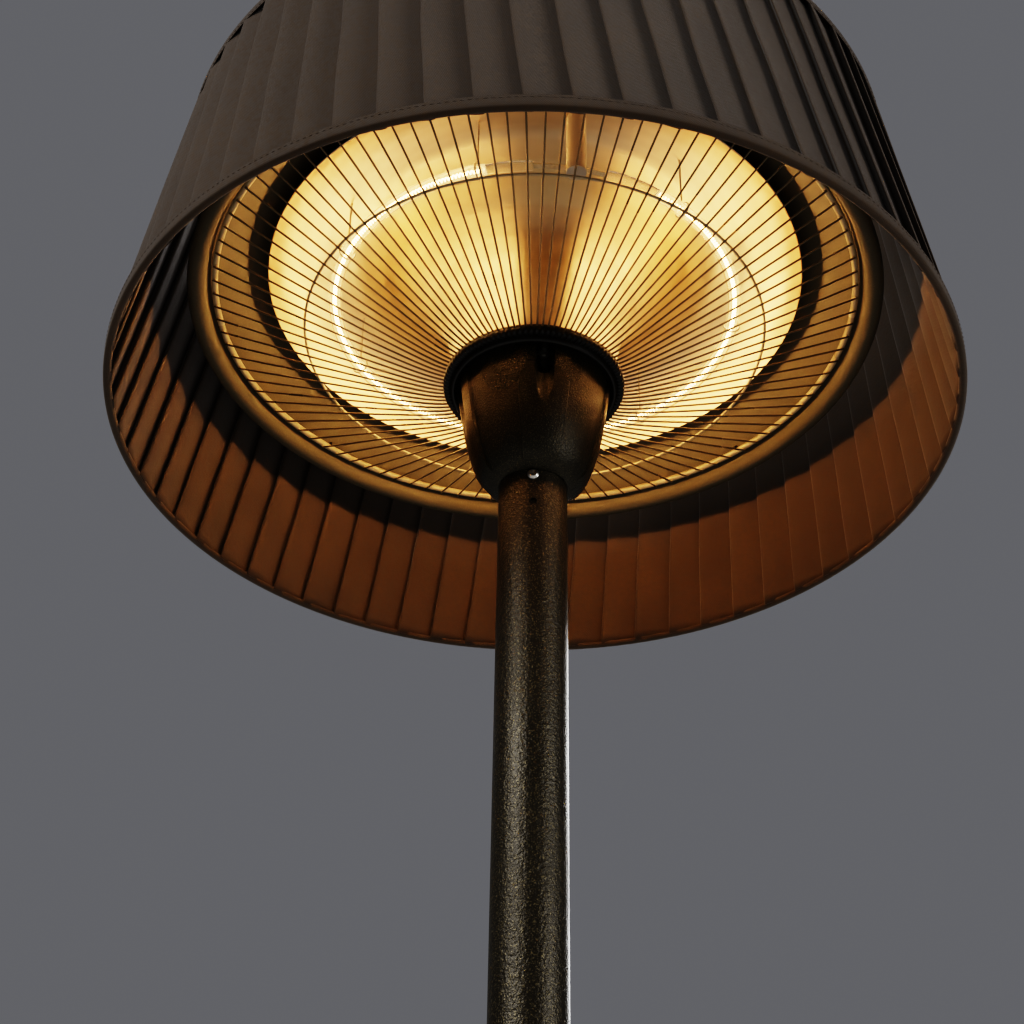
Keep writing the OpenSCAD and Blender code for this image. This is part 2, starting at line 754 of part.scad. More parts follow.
module stud_nut() {
    color("silver") translate([0, 0, box_top_z - 6]) difference() {
        cylinder(r = 7.5, h = 5.9, $fn = 6);
        translate([0, 0, 1.5]) cylinder(r = stud_r + 0.02, h = 20);
    }
}

module shade_spider() {
    arm_w = 12;
    arm_r = shade_out_r(shade_h - 4) - shade_wall - 2 * shade_wire_r - ring_seat - 0.2;
    color("#2b2824") difference() {
        union() {
            translate([0, 0, spider_z]) cylinder(r = 18, h = spider_t);
            for (k = [0 : spider_arms - 1]) rotate([0, 0, 90 + 360 * k / spider_arms])
                translate([0, -arm_w / 2, spider_z]) cube([arm_r, arm_w, spider_t]);
        }
        translate([0, 0, spider_z - past]) cylinder(r = stud_r + gap, h = spider_t + 2 * past);
    }
}

module shade_top_ring() {
    ring_h = shade_h - 4;
    color("#2b2824") wire_ring(shade_out_r(ring_h) - shade_wall - shade_wire_r - ring_seat, shade_wire_r,
                               rim_z + ring_h);
}

module shade_bottom_ring() {
    color("#1a1612") wire_ring(hem_ring_r, shade_wire_r, rim_z + shade_wire_r + gap);
}

// the hem is open below, where the lower ring lies in it
module shade_fabric() {
    slot_w = shade_wire_r + gap;
    slot_h = 2 * (shade_wire_r + gap);
    color("#7a4a20") translate([0, 0, rim_z]) rotate_extrude($fn = 180)
        polygon([[shade_bottom_r - shade_wall, 0], [hem_ring_r - slot_w, 0],
                 [hem_ring_r - slot_w, slot_h], [hem_ring_r + slot_w, slot_h],
                 [hem_ring_r + slot_w, 0], [shade_bottom_r, 0],
                 [shade_top_r, shade_h], [shade_top_r - shade_wall, shade_h]]);
}

module shade_finial() {
    knurls = 24;
    color("#2b2824") translate([0, 0, spider_z + spider_t + 0.05]) difference() {
        union() {
            cylinder(r = 10, h = 3);
            cylinder(r = 8, h = 16);
            translate([0, 0, 16]) intersection() {
                translate([0, 0, -4]) sphere(r = 8.94);
                cylinder(r = 8, h = 8);
            }
        }
        translate([0, 0, -past]) cylinder(r = stud_r + 0.02, h = 13.5);
        for (k = [0 : knurls - 1]) rotate([0, 0, 360 * k / knurls])
            translate([8, 0, 4]) cylinder(r = 0.5, h = 10, $fn = 16);
    }
}

rubber_feet();
base_plate();
base_weight();
base_cover();
pole_socket();
socket_bolts();
socket_nuts();
socket_screws();
foot_switch_body();
foot_switch_button();
foot_switch_spring();
tilt_switch_body();
tilt_plunger();
tilt_plunger_spring();
cable_gland();
gland_nut();
lower_pole();
middle_pole();
upper_pole();
lower_joint_sleeve();
upper_joint_sleeve();
joint_screws();
pole_top_screw();
supply_lead();
head_stem();
hub_cup();
cup_screws();
hub_flange();
guard_wires();
guard_mid_ring();
guard_outer_ring();
reflector();
reflector_spacers();
guard_studs();
hood();
lamp_tube();
lamp_filament();
lamp_end_seals();
lamp_lead_strips();
lamp_holder();
lamp_clips();
lamp_leads();
junction_box();
junction_box_lid();
lid_screws();
terminal_block();
thermal_cutout();
stem_nut();
shade_stud();
stud_nut();
shade_spider();
shade_top_ring();
shade_bottom_ring();
shade_fabric();
shade_finial();
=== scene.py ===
# %% [markdown]
# # A garden heater shaped like a floor lamp
# The heater is a weighted base, a slim pole, a ring-shaped lamp under a spun reflector, a cone
# of guard wires around a dark hub, and a pleated shade. The engineering model is loaded first
# and stays where it is. This lesson gives its pieces their finishes and remakes the ones whose
# look depends on fine shape: cloth, wires, spun metal and glass.

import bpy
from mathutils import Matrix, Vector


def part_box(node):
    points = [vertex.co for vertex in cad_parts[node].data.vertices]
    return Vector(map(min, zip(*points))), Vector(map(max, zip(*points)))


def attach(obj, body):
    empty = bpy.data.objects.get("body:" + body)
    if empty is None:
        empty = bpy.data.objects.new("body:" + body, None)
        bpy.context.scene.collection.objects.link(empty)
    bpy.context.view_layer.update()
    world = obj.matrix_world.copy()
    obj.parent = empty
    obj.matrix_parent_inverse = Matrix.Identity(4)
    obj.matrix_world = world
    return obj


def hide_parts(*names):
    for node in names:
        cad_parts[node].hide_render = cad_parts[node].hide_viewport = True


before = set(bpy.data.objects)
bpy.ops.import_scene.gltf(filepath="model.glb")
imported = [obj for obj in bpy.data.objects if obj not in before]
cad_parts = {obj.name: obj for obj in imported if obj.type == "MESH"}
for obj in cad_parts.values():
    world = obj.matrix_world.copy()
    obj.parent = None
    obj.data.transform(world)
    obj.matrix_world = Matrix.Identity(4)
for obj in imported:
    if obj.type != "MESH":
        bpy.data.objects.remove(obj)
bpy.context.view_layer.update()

# %% [markdown]
# ## Tools and units
# The frame is in metres and most sizes on a heater are easier to read in millimetres, so one
# small constant turns them. The random seed is fixed, so every run makes the same folds.

# %% Tools and units
import math
import random

import bmesh
import bpy
from mathutils import Matrix, Vector

MM = 0.001
BODY = "stand"
random.seed(64)

# %% [markdown]
# ## Where things are
# Every place is read from the frame. A ring of wire gives both of its radii through its box:
# its height is the wire's thickness and its width the ring's diameter.

# %% Places
def ring_sizes(node):
    low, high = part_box(node)
    wire_r = (high.z - low.z) / 2
    return (high.x - low.x) / 2 - wire_r, wire_r, (high.z + low.z) / 2


shade_low, shade_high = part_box("shade_fabric")
RIM_Z = shade_low.z
SHADE_H = shade_high.z - shade_low.z
SHADE_R = (shade_high.x - shade_low.x) / 2
GUARD_R, GUARD_WIRE, GUARD_Z = ring_sizes("guard_outer_ring")
MID_R, MID_WIRE, MID_Z = ring_sizes("guard_mid_ring")
TOP_RING_R, TOP_RING_WIRE = ring_sizes("shade_top_ring")[:2]
HEM_R = ring_sizes("shade_bottom_ring")[0]
lamp_low, lamp_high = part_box("lamp_tube")
QUARTZ_R = (lamp_high.z - lamp_low.z) / 2
LAMP_R = (lamp_high.x - lamp_low.x) / 2 - QUARTZ_R
LAMP_Z = (lamp_high.z + lamp_low.z) / 2
print("rim at", round(RIM_Z, 3), "lamp ring", round(LAMP_R, 4), "guard", round(GUARD_R, 4))

# %% [markdown]
# ## Camera
# The view looks up under the shade from about a metre away, at chest height, with a lens of
# about 32 degrees. It is made first, so that everything after it can be judged through it.

# %% Camera
CAMERA_AWAY = 1010 * MM
CAMERA_BELOW_RIM = 793.8 * MM
SENSOR_WIDTH, LENS_LENGTH = 36, 62.97
PITCH, YAW, ROLL = 35.583, -0.815, 0.957


def aim_camera(pitch, yaw, roll):
    pitch, yaw, roll = (math.radians(a) for a in (pitch, yaw, roll))
    ahead = Vector((math.sin(yaw) * math.cos(pitch), math.cos(yaw) * math.cos(pitch), math.sin(pitch)))
    right = ahead.cross(Vector((0, 0, 1))).normalized()
    up = right.cross(ahead)
    turned_right = right * math.cos(roll) + up * math.sin(roll)
    turned_up = up * math.cos(roll) - right * math.sin(roll)
    return Matrix((turned_right, turned_up, -ahead)).transposed().to_quaternion()


camera_data = bpy.data.cameras.new("camera")
camera_data.sensor_width = SENSOR_WIDTH
camera_data.lens = LENS_LENGTH
camera = bpy.data.objects.new("camera", camera_data)
camera.location = (0, -CAMERA_AWAY, RIM_Z - CAMERA_BELOW_RIM)
camera.rotation_mode = "QUATERNION"
camera.rotation_quaternion = aim_camera(PITCH, YAW, ROLL)
bpy.context.scene.collection.objects.link(camera)
bpy.context.scene.camera = camera
print("camera stands", round(camera.location.z, 3), "m above the floor")

# %% [markdown]
# ## Making meshes
# Most pieces are either spun around the pole's axis or bent from wire, so two makers cover
# them. Azimuths are counted in degrees from the front (-Y) towards +X.

# %% Mesh helpers
def at(azimuth, radius, z):
    a = math.radians(azimuth)
    return Vector((math.sin(a) * radius, -math.cos(a) * radius, z))


def mesh_piece(name, points, faces, sharp=40):
    mesh = bpy.data.meshes.new(name)
    mesh.from_pydata(points, [], faces)
    bm = bmesh.new()
    bm.from_mesh(mesh)
    bmesh.ops.recalc_face_normals(bm, faces=bm.faces)
    for face in bm.faces:
        face.smooth = True
    for edge in bm.edges:
        edge.smooth = not (edge.is_manifold and edge.calc_face_angle(0) > math.radians(sharp))
    bm.to_mesh(mesh)
    bm.free()
    piece = bpy.data.objects.new(name, mesh)
    bpy.context.scene.collection.objects.link(piece)
    return piece


def grid_faces(rows, columns, wrap_rows, wrap_columns):
    faces = []
    for i in range(rows if wrap_rows else rows - 1):
        for j in range(columns if wrap_columns else columns - 1):
            below, right = (i + 1) % rows, (j + 1) % columns
            faces.append((i * columns + j, i * columns + right,
                          below * columns + right, below * columns + j))
    return faces


def curved(points, spans=6, closed=False):
    """A smooth line through the points, as (x, y) or (x, y, z) tuples."""
    count = len(points)
    line = []
    for i in range(count if closed else count - 1):
        ends = [points[(i + k) % count] if closed else points[min(max(i + k, 0), count - 1)]
                for k in (-1, 0, 1, 2)]
        for step in range(spans):
            t = step / spans
            weights = ((-t + 2 * t**2 - t**3) / 2, (2 - 5 * t**2 + 3 * t**3) / 2,
                       (t + 4 * t**2 - 3 * t**3) / 2, (t**3 - t**2) / 2)
            line.append(tuple(sum(w * p[axis] for w, p in zip(weights, ends))
                              for axis in range(len(points[0]))))
    if not closed:
        line.append(tuple(points[-1]))
    return line


def spun(name, outline, steps=240, shape=None, sharp=40):
    """Turns a closed outline of (radius, z) round the axis. shape may change each point."""
    points = []
    for j in range(steps):
        azimuth = 360 * j / steps
        for radius, z in outline:
            if shape:
                radius, z = shape(azimuth, radius, z)
            points.append(at(azimuth, radius, z))
    return mesh_piece(name, points, grid_faces(steps, len(outline), True, True), sharp)


def wires(name, paths, radius, sides=10, closed=False, sharp=60):
    """Round wire along each path of 3-D points."""
    points, faces = [], []
    for path in paths:
        first, count = len(points), len(path)
        for i, here in enumerate(path):
            before = path[i - 1] if i or closed else here
            after = path[(i + 1) % count] if i + 1 < count or closed else here
            ahead = (Vector(after) - Vector(before)).normalized()
            if i == 0:
                side = ahead.orthogonal().normalized()
            side = (side - ahead * side.dot(ahead)).normalized()
            other = ahead.cross(side)
            for k in range(sides):
                turn = math.tau * k / sides
                points.append(Vector(here) + (side * math.cos(turn) + other * math.sin(turn)) * radius)
        faces += [tuple(first + v for v in f) for f in grid_faces(count, sides, closed, True)]
        if not closed:
            faces.append(tuple(first + k for k in reversed(range(sides))))
            faces.append(tuple(first + (count - 1) * sides + k for k in range(sides)))
    return mesh_piece(name, points, faces, sharp)


def shell(line, thickness):
    """A closed outline: the line, and its copy moved sideways by the thickness."""
    back = []
    for i, (radius, z) in enumerate(line):
        before, after = line[max(i - 1, 0)], line[min(i + 1, len(line) - 1)]
        along = Vector((after[0] - before[0], after[1] - before[1])).normalized()
        back.append((radius - along.y * thickness, z + along.x * thickness))
    return list(line) + back[::-1]


# %% [markdown]
# ## Handing a piece over
# Each new piece rides on a body of the engineering model and may stand in for plain nodes.
# Doing that in one helper keeps the body, the slot and the finish together.

# %% Placing a piece
def stands_for(piece, nodes, finish, body=BODY):
    """Hides the plain nodes, rides on their body and takes the finish."""
    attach(piece, body)
    if nodes:
        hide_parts(*nodes)
    piece.data.materials.clear()
    piece.data.materials.append(finish)
    print(piece.name, "has", len(piece.data.polygons), "faces")
    return piece


# %% [markdown]
# ## Shader helpers
# Surface effects that several finishes share are node groups with named sockets: powder-coat
# grain, spun lines, weave, edge wear, dust and a band of painted shade. Each gives only heights
# and masks; the finish decides what they do.

# %% Node helpers
def new_group(name, inputs, outputs):
    group = bpy.data.node_groups.new(name, "ShaderNodeTree")
    for label, value in inputs:
        socket = group.interface.new_socket(name=label, in_out="INPUT", socket_type="NodeSocketFloat")
        socket.default_value = value
    for label in outputs:
        group.interface.new_socket(name=label, in_out="OUTPUT", socket_type="NodeSocketFloat")
    return group, group.nodes.new("NodeGroupInput"), group.nodes.new("NodeGroupOutput")


def calc(tree, operation, *values, clamp=False):
    node = tree.nodes.new("ShaderNodeMath")
    node.operation = operation
    node.use_clamp = clamp
    for socket, value in zip(node.inputs, values):
        if isinstance(value, (int, float)):
            socket.default_value = value
        else:
            tree.links.new(value, socket)
    return node.outputs[0]


def place_coordinates(tree):
    """Coordinates in the heater's own frame: vector, x, y and z."""
    where = tree.nodes.new("ShaderNodeTexCoord").outputs["Object"]
    split = tree.nodes.new("ShaderNodeSeparateXYZ")
    tree.links.new(where, split.inputs[0])
    return where, split.outputs[0], split.outputs[1], split.outputs[2]


def noise(tree, scale, detail=2.0, vector=None, roughness=0.5, dimensions="3D", w=None):
    node = tree.nodes.new("ShaderNodeTexNoise")
    node.noise_dimensions = dimensions
    settings = {"Scale": scale, "Detail": detail, "Roughness": roughness, "Vector": vector, "W": w}
    for label, value in settings.items():
        if value is None:
            continue
        if isinstance(value, (int, float)):
            node.inputs[label].default_value = value
        else:
            tree.links.new(value, node.inputs[label])
    return node.outputs[0]


def ramp(tree, value, low, high, to_low=0.0, to_high=1.0):
    node = tree.nodes.new("ShaderNodeMapRange")
    node.interpolation_type = "SMOOTHSTEP"
    for socket, setting in zip(node.inputs, (value, low, high, to_low, to_high)):
        if isinstance(setting, (int, float)):
            socket.default_value = setting
        else:
            tree.links.new(setting, socket)
    return node.outputs[0]


# %% [markdown]
# ## Powder-coat grain
# Baked powder paint has a fine pebbled skin. It could be modelled, but the pebbles are about a
# millimetre across, so two sizes of noise used as height are enough at any distance.

# %% Powder-coat grain
def make_grain_group():
    """Fine pebbled skin of baked powder paint, with larger hammered dimples under it."""
    tree, inlet, outlet = new_group("powder_grain", [("Pebble", 1.1 * MM), ("Dimple", 5 * MM)],
                                    ["Height", "Speckle", "Drift"])
    where = place_coordinates(tree)[0]
    pebble = noise(tree, calc(tree, "DIVIDE", 1.0, inlet.outputs["Pebble"]), 2.0, where, 0.6)
    dimple = noise(tree, calc(tree, "DIVIDE", 1.0, inlet.outputs["Dimple"]), 1.0, where)
    height = calc(tree, "ADD", calc(tree, "MULTIPLY", pebble, 0.6), calc(tree, "MULTIPLY", dimple, 0.9))
    tree.links.new(height, outlet.inputs["Height"])
    tree.links.new(ramp(tree, pebble, 0.52, 0.72), outlet.inputs["Speckle"])
    tree.links.new(noise(tree, 9.0, 3.0, where), outlet.inputs["Drift"])
    return tree


GRAIN = make_grain_group()
print("group", GRAIN.name)


# %% [markdown]
# ## Spun lines
# A polishing tool leaves fine rings on spun metal. An image could hold them, but noise along
# the radius makes rings that stay sharp and need no unwrapping.

# %% Spun lines
def make_spun_group():
    """Rings left by the polishing tool on spun metal, gently wavering along their length."""
    tree, inlet, outlet = new_group("spun_lines", [("Line", 0.9 * MM), ("Waver", 1.2 * MM)],
                                    ["Height", "Bands"])
    where, x, y, z = place_coordinates(tree)
    radius = calc(tree, "SQRT", calc(tree, "ADD", calc(tree, "MULTIPLY", x, x), calc(tree, "MULTIPLY", y, y)))
    along = calc(tree, "ADD", radius, calc(tree, "MULTIPLY", z, 0.6))
    swing = calc(tree, "SUBTRACT", noise(tree, 28.0, 2.0, where), 0.5)
    waver = calc(tree, "MULTIPLY", swing, inlet.outputs["Waver"])
    track = calc(tree, "ADD", along, calc(tree, "MULTIPLY", waver, 4.0))
    fine = noise(tree, calc(tree, "DIVIDE", 1.0, inlet.outputs["Line"]), 2.0, None, 0.6, "1D", track)
    broad = noise(tree, calc(tree, "DIVIDE", 0.12, inlet.outputs["Line"]), 1.0, None, 0.5, "1D", track)
    tree.links.new(calc(tree, "ADD", fine, calc(tree, "MULTIPLY", broad, 0.8)), outlet.inputs["Height"])
    tree.links.new(broad, outlet.inputs["Bands"])
    return tree


SPUN = make_spun_group()
print("group", SPUN.name)


# %% [markdown]
# ## Weave
# Plain weave crosses warp and weft. Two sine waves around and up the shade give it at a
# known thread pitch, and a slow noise adds thicker threads and fading.

# %% Weave
def make_weave_group():
    """Plain weave laid round the axis: warp up the cloth, weft around it."""
    tree, inlet, outlet = new_group("plain_weave", [("Thread", 0.7 * MM), ("Radius", SHADE_R)],
                                    ["Height", "Slub", "Fade"])
    where, x, y, z = place_coordinates(tree)
    around = calc(tree, "MULTIPLY", calc(tree, "ARCTAN2", y, x), inlet.outputs["Radius"])
    turn = calc(tree, "DIVIDE", math.pi, inlet.outputs["Thread"])
    warp = calc(tree, "SINE", calc(tree, "MULTIPLY", around, turn))
    weft = calc(tree, "SINE", calc(tree, "MULTIPLY", z, turn))
    crossing = calc(tree, "MULTIPLY", warp, weft)
    slub = noise(tree, 240.0, 3.0, where, 0.65)
    tree.links.new(calc(tree, "ADD", calc(tree, "MULTIPLY", crossing, 0.5), slub), outlet.inputs["Height"])
    tree.links.new(ramp(tree, slub, 0.35, 0.7), outlet.inputs["Slub"])
    tree.links.new(noise(tree, 14.0, 3.0, where), outlet.inputs["Fade"])
    return tree


WEAVE = make_weave_group()
print("group", WEAVE.name)


# %% [markdown]
# ## Edge wear, dust and a band of painted shade
# Paint rubs off corners and dust lies on what faces up. The third mask is a band inside the lamp
# ring where the reflector is painted darker: painted shade. Three masks are made apart, so a
# finish can take only the ones it needs.

# %% Edge wear, dust and a band of painted shade
def make_wear_group():
    """Bright metal where handling has rubbed paint off corners."""
    tree, inlet, outlet = new_group("edge_wear", [("Amount", 0.5), ("Patch", 12 * MM)], ["Mask"])
    where = place_coordinates(tree)[0]
    corner = ramp(tree, tree.nodes.new("ShaderNodeNewGeometry").outputs["Pointiness"], 0.53, 0.62)
    patch_scale = calc(tree, "DIVIDE", 1.0, inlet.outputs["Patch"])
    patches = ramp(tree, noise(tree, patch_scale, 3.0, where, 0.65), 0.5, 0.66)
    worn = calc(tree, "MULTIPLY", calc(tree, "MULTIPLY", corner, patches), inlet.outputs["Amount"],
                clamp=True)
    tree.links.new(worn, outlet.inputs["Mask"])
    return tree


def make_dust_group():
    """Fine dust that settles on what faces up."""
    tree, inlet, outlet = new_group("settled_dust", [("Amount", 0.3)], ["Mask"])
    where = place_coordinates(tree)[0]
    split = tree.nodes.new("ShaderNodeSeparateXYZ")
    tree.links.new(tree.nodes.new("ShaderNodeNewGeometry").outputs["Normal"], split.inputs[0])
    upward = ramp(tree, split.outputs[2], 0.3, 0.95)
    drifts = ramp(tree, noise(tree, 22.0, 5.0, where, 0.6), 0.35, 0.75)
    tree.links.new(calc(tree, "MULTIPLY", calc(tree, "MULTIPLY", upward, drifts), inlet.outputs["Amount"]),
                   outlet.inputs["Mask"])
    return tree


def make_painted_shade_band_group():
    """A soft band just inside the lamp ring, from 0 to 1, where shade is painted."""
    tree, inlet, outlet = new_group("painted_shade_band", [("Reach", 40 * MM), ("Inward", 40 * MM)], ["Mask"])
    where, x, y, z = place_coordinates(tree)
    radius = calc(tree, "SQRT", calc(tree, "ADD", calc(tree, "MULTIPLY", x, x), calc(tree, "MULTIPLY", y, y)))
    middle = calc(tree, "SUBTRACT", LAMP_R, inlet.outputs["Inward"])
    away = calc(tree, "ABSOLUTE", calc(tree, "SUBTRACT", radius, middle), 0.0)
    painted_band = ramp(tree, calc(tree, "DIVIDE", away, inlet.outputs["Reach"]), 0.0, 1.0, 1.0, 0.0)
    patches = ramp(tree, noise(tree, 30.0, 3.0, where), 0.3, 0.7, 0.85, 1.0)
    tree.links.new(calc(tree, "MULTIPLY", painted_band, patches), outlet.inputs["Mask"])
    return tree


WEAR, DUST, PAINTED_SHADE_BAND = make_wear_group(), make_dust_group(), make_painted_shade_band_group()
print("groups", WEAR.name, DUST.name, PAINTED_SHADE_BAND.name)


# %% [markdown]
# ## Finishes
# A finish starts as one Principled shader with its constant values on its own sockets. Small
# helpers then place a group, mix colours by a mask and turn a height into a bump.

# %% Finish helpers
def start_finish(name, colour, roughness, metallic=0.0, **sockets):
    finish = bpy.data.materials.new(name)
    finish.use_nodes = True
    shader = finish.node_tree.nodes["Principled BSDF"]
    shader.inputs["Base Color"].default_value = (*colour, 1)
    shader.inputs["Roughness"].default_value = roughness
    shader.inputs["Metallic"].default_value = metallic
    for label, value in sockets.items():
        shader.inputs[label.replace("_", " ")].default_value = value
    finish.diffuse_color = (*colour, 1)
    return finish, finish.node_tree, shader


def place_group(tree, group, **values):
    node = tree.nodes.new("ShaderNodeGroup")
    node.node_tree = group
    for label, value in values.items():
        node.inputs[label].default_value = value
    return node.outputs


def mixed(tree, mask, first, second):
    node = tree.nodes.new("ShaderNodeMix")
    node.data_type = "RGBA"
    if isinstance(mask, (int, float)):
        node.inputs["Factor"].default_value = mask
    else:
        tree.links.new(mask, node.inputs["Factor"])
    for label, colour in (("A", first), ("B", second)):
        socket = next(s for s in node.inputs if s.name == label and s.type == "RGBA")
        if isinstance(colour, tuple):
            socket.default_value = (*colour, 1)
        else:
            tree.links.new(colour, socket)
    return next(s for s in node.outputs if s.type == "RGBA")


def bump(tree, shader, height, distance, strength=1.0):
    node = tree.nodes.new("ShaderNodeBump")
    node.inputs["Strength"].default_value = strength
    node.inputs["Distance"].default_value = distance
    tree.links.new(height, node.inputs["Height"])
    tree.links.new(node.outputs[0], shader.inputs["Normal"])


# %% [markdown]
# ## Painted metal
# Pole, base, cup, hood and guard are painted metal that differs only in colour, gloss and
# grain. One maker with those as settings keeps them related.

# %% Painted metal
RUBBED_METAL = (0.32, 0.29, 0.25)
DUST_COLOUR = (0.34, 0.31, 0.27)


def painted(name, colour, flake, roughness=0.42, metallic=0.35, pebble=1.1 * MM, dimple=5 * MM,
            depth=0.25 * MM, wear=0.35, dust=0.12):
    finish, tree, shader = start_finish(name, colour, roughness, metallic)
    grain = place_group(tree, GRAIN, Pebble=pebble, Dimple=dimple)
    worn = place_group(tree, WEAR, Amount=wear)["Mask"]
    dusty = place_group(tree, DUST, Amount=dust)["Mask"]
    skin = mixed(tree, grain["Speckle"], colour, flake)
    skin = mixed(tree, worn, skin, RUBBED_METAL)
    skin = mixed(tree, dusty, skin, DUST_COLOUR)
    tree.links.new(skin, shader.inputs["Base Color"])
    tree.links.new(calc(tree, "ADD", ramp(tree, grain["Drift"], 0.3, 0.7, roughness - 0.06, roughness + 0.1),
                        calc(tree, "MULTIPLY", dusty, 0.4), clamp=True), shader.inputs["Roughness"])
    bump(tree, shader, grain["Height"], depth)
    return finish


POLE_PAINT = painted("hammered_bronze", (0.030, 0.024, 0.014), (0.15, 0.122, 0.064),
                     0.34, 0.45, 1.1 * MM, 2.6 * MM, 0.5 * MM, 0.0, 0.1)
BASE_PAINT = painted("bronze_powder_coat", (0.028, 0.024, 0.020), (0.06, 0.05, 0.04),
                     0.5, 0.3, 0.7 * MM, 3 * MM, 0.12 * MM, 0.0)
CUP_PAINT = painted("textured_bronze", (0.026, 0.022, 0.013), (0.12, 0.100, 0.054),
                    0.30, 0.5, 0.7 * MM, 1.5 * MM, 0.35 * MM, 0.0, 0.05)
HOOD_PAINT = painted("hood_bronze", (0.080, 0.066, 0.038), (0.112, 0.093, 0.053),
                     0.72, 0.0, 0.8 * MM, 4 * MM, 0.10 * MM, 0.1, 0.1)
GUARD_ENAMEL = painted("black_enamel", (0.010, 0.009, 0.007), (0.022, 0.018, 0.013),
                       0.34, 0.3, 0.5 * MM, 3 * MM, 0.03 * MM, 0.0, 0.05)
GUARD_WIRE_PAINT = painted("dark_guard_wire", (0.13, 0.105, 0.066), (0.16, 0.128, 0.080),
                           0.3, 0.6, 0.4 * MM, 3 * MM, 0.02 * MM, 0.0, 0.0)
# The rings and their welds take a paler, warmer copy of the guard wires' bronze: a painted highlight for the
# lamp's gold light on them.
GUARD_RING_GLOW_PAINT = painted("guard_ring_bronze_and_painted_glow", (0.36, 0.29, 0.18), (0.42, 0.34, 0.21), 0.32, 0.15, 0.4 * MM,
                           3 * MM, 0.02 * MM, 0.0, 0.0)
print("painted finishes made")


# %% [markdown]
# ## Polished reflector
# The reflector is spun, polished aluminium. Its colour is made warmer than bare metal, a painted
# reflection of the lamp's amber light, and a band inside the lamp ring is painted darker as
# painted shade. Both were chosen to suit the tones seen under the shade.

# %% Polished reflector
def polished_reflector():
    # The warm base colours are a painted reflection of the lamp's amber light.
    finish, tree, shader = start_finish("spun_aluminium", (0.63, 0.51, 0.35), 0.34, 1.0)
    rings = place_group(tree, SPUN, Line=2.2 * MM, Waver=0.25 * MM)
    # The band inside the lamp ring darkens the metal: painted shade.
    painted_band = place_group(tree, PAINTED_SHADE_BAND, Reach=46 * MM, Inward=44 * MM)["Mask"]
    metal = mixed(tree, ramp(tree, rings["Bands"], 0.35, 0.65), (0.64, 0.52, 0.36), (0.55, 0.44, 0.31))
    metal = mixed(tree, calc(tree, "MULTIPLY", painted_band, 0.8), metal, (0.34, 0.23, 0.10))
    tree.links.new(metal, shader.inputs["Base Color"])
    tree.links.new(ramp(tree, rings["Bands"], 0.3, 0.7, 0.31, 0.38), shader.inputs["Roughness"])
    bump(tree, shader, rings["Height"], 0.03 * MM)
    return finish


REFLECTOR_METAL = polished_reflector()
print("finish", REFLECTOR_METAL.name)


# %% [markdown]
# ## Shade cloth
# The shade is a close brown cloth. Sheen gives it the soft pale edge that cloth has where it
# turns away, and the weave shows only as a small bump.

# %% Shade cloth
def shade_cloth():
    base = (0.047, 0.028, 0.013)
    finish, tree, shader = start_finish("brown_shade_cloth", base, 0.85, 0.0,
                                        Sheen_Weight=0.25, Sheen_Roughness=0.5)
    weave = place_group(tree, WEAVE, Thread=0.75 * MM, Radius=SHADE_R)
    dusty = place_group(tree, DUST, Amount=0.1)["Mask"]
    threads = mixed(tree, weave["Slub"], base, (0.066, 0.040, 0.019))
    threads = mixed(tree, ramp(tree, weave["Fade"], 0.35, 0.7, 0, 0.4), threads, (0.036, 0.021, 0.010))
    tree.links.new(mixed(tree, dusty, threads, (0.3, 0.27, 0.22)), shader.inputs["Base Color"])
    tree.links.new(ramp(tree, weave["Slub"], 0, 1, 0.78, 0.92), shader.inputs["Roughness"])
    bump(tree, shader, weave["Height"], 0.18 * MM, 0.7)
    return finish


SHADE_CLOTH = shade_cloth()
print("finish", SHADE_CLOTH.name)


# %% [markdown]
# ## The lamp's light
# The coil inside the quartz ring is what glows as the lamp. Most of what is golden on the heater
# is that light falling on metal, wire and cloth, so the coil gets a strong warm emission and the
# quartz casts no shadow of its own. The quartz and its pinched ends also get a faint warm
# emission, a painted glow for the coil's light caught in the glass.

# %% Lamp finishes
LAMP_COLOUR = (1.0, 0.56, 0.23)
LAMP_POWER = 195.0


def glowing_coil():
    finish, tree, shader = start_finish("glowing_tungsten", (0.9, 0.6, 0.3), 0.5, 0.0)
    where = place_coordinates(tree)[0]
    heat = ramp(tree, noise(tree, 60.0, 2.0, where), 0.3, 0.7)
    tree.links.new(mixed(tree, heat, (1.0, 0.54, 0.21), (1.0, 0.59, 0.25)), shader.inputs["Emission Color"])
    shader.inputs["Emission Strength"].default_value = LAMP_POWER
    return finish


def clear_quartz(name, roughness, glow):
    finish, tree, shader = start_finish(name, (1.0, 0.97, 0.92), roughness, 0.0,
                                        Transmission_Weight=1.0, IOR=1.45)
    where = place_coordinates(tree)[0]
    tree.links.new(ramp(tree, noise(tree, 90.0, 3.0, where), 0.4, 0.8, roughness, roughness + 0.08),
                   shader.inputs["Roughness"])
    bump(tree, shader, noise(tree, 160.0, 2.0, where), 0.05 * MM, 0.4)
    # The glass gets a faint warm emission of its own, a painted glow for the coil's light caught in the
    # quartz.
    shader.inputs["Emission Color"].default_value = (*LAMP_COLOUR, 1)
    shader.inputs["Emission Strength"].default_value = glow
    return finish


TUNGSTEN = glowing_coil()
QUARTZ = clear_quartz("clear_quartz", 0.02, 0.25)
PINCH_QUARTZ = clear_quartz("pinched_quartz", 0.04, 0.03)
print("lamp finishes made")


# %% [markdown]
# ## Small metals, ceramics, rubbers and plastics
# Screws, switches and insulators are small, so two makers cover them: one for bare metal with
# fine scratches and one for anything moulded.

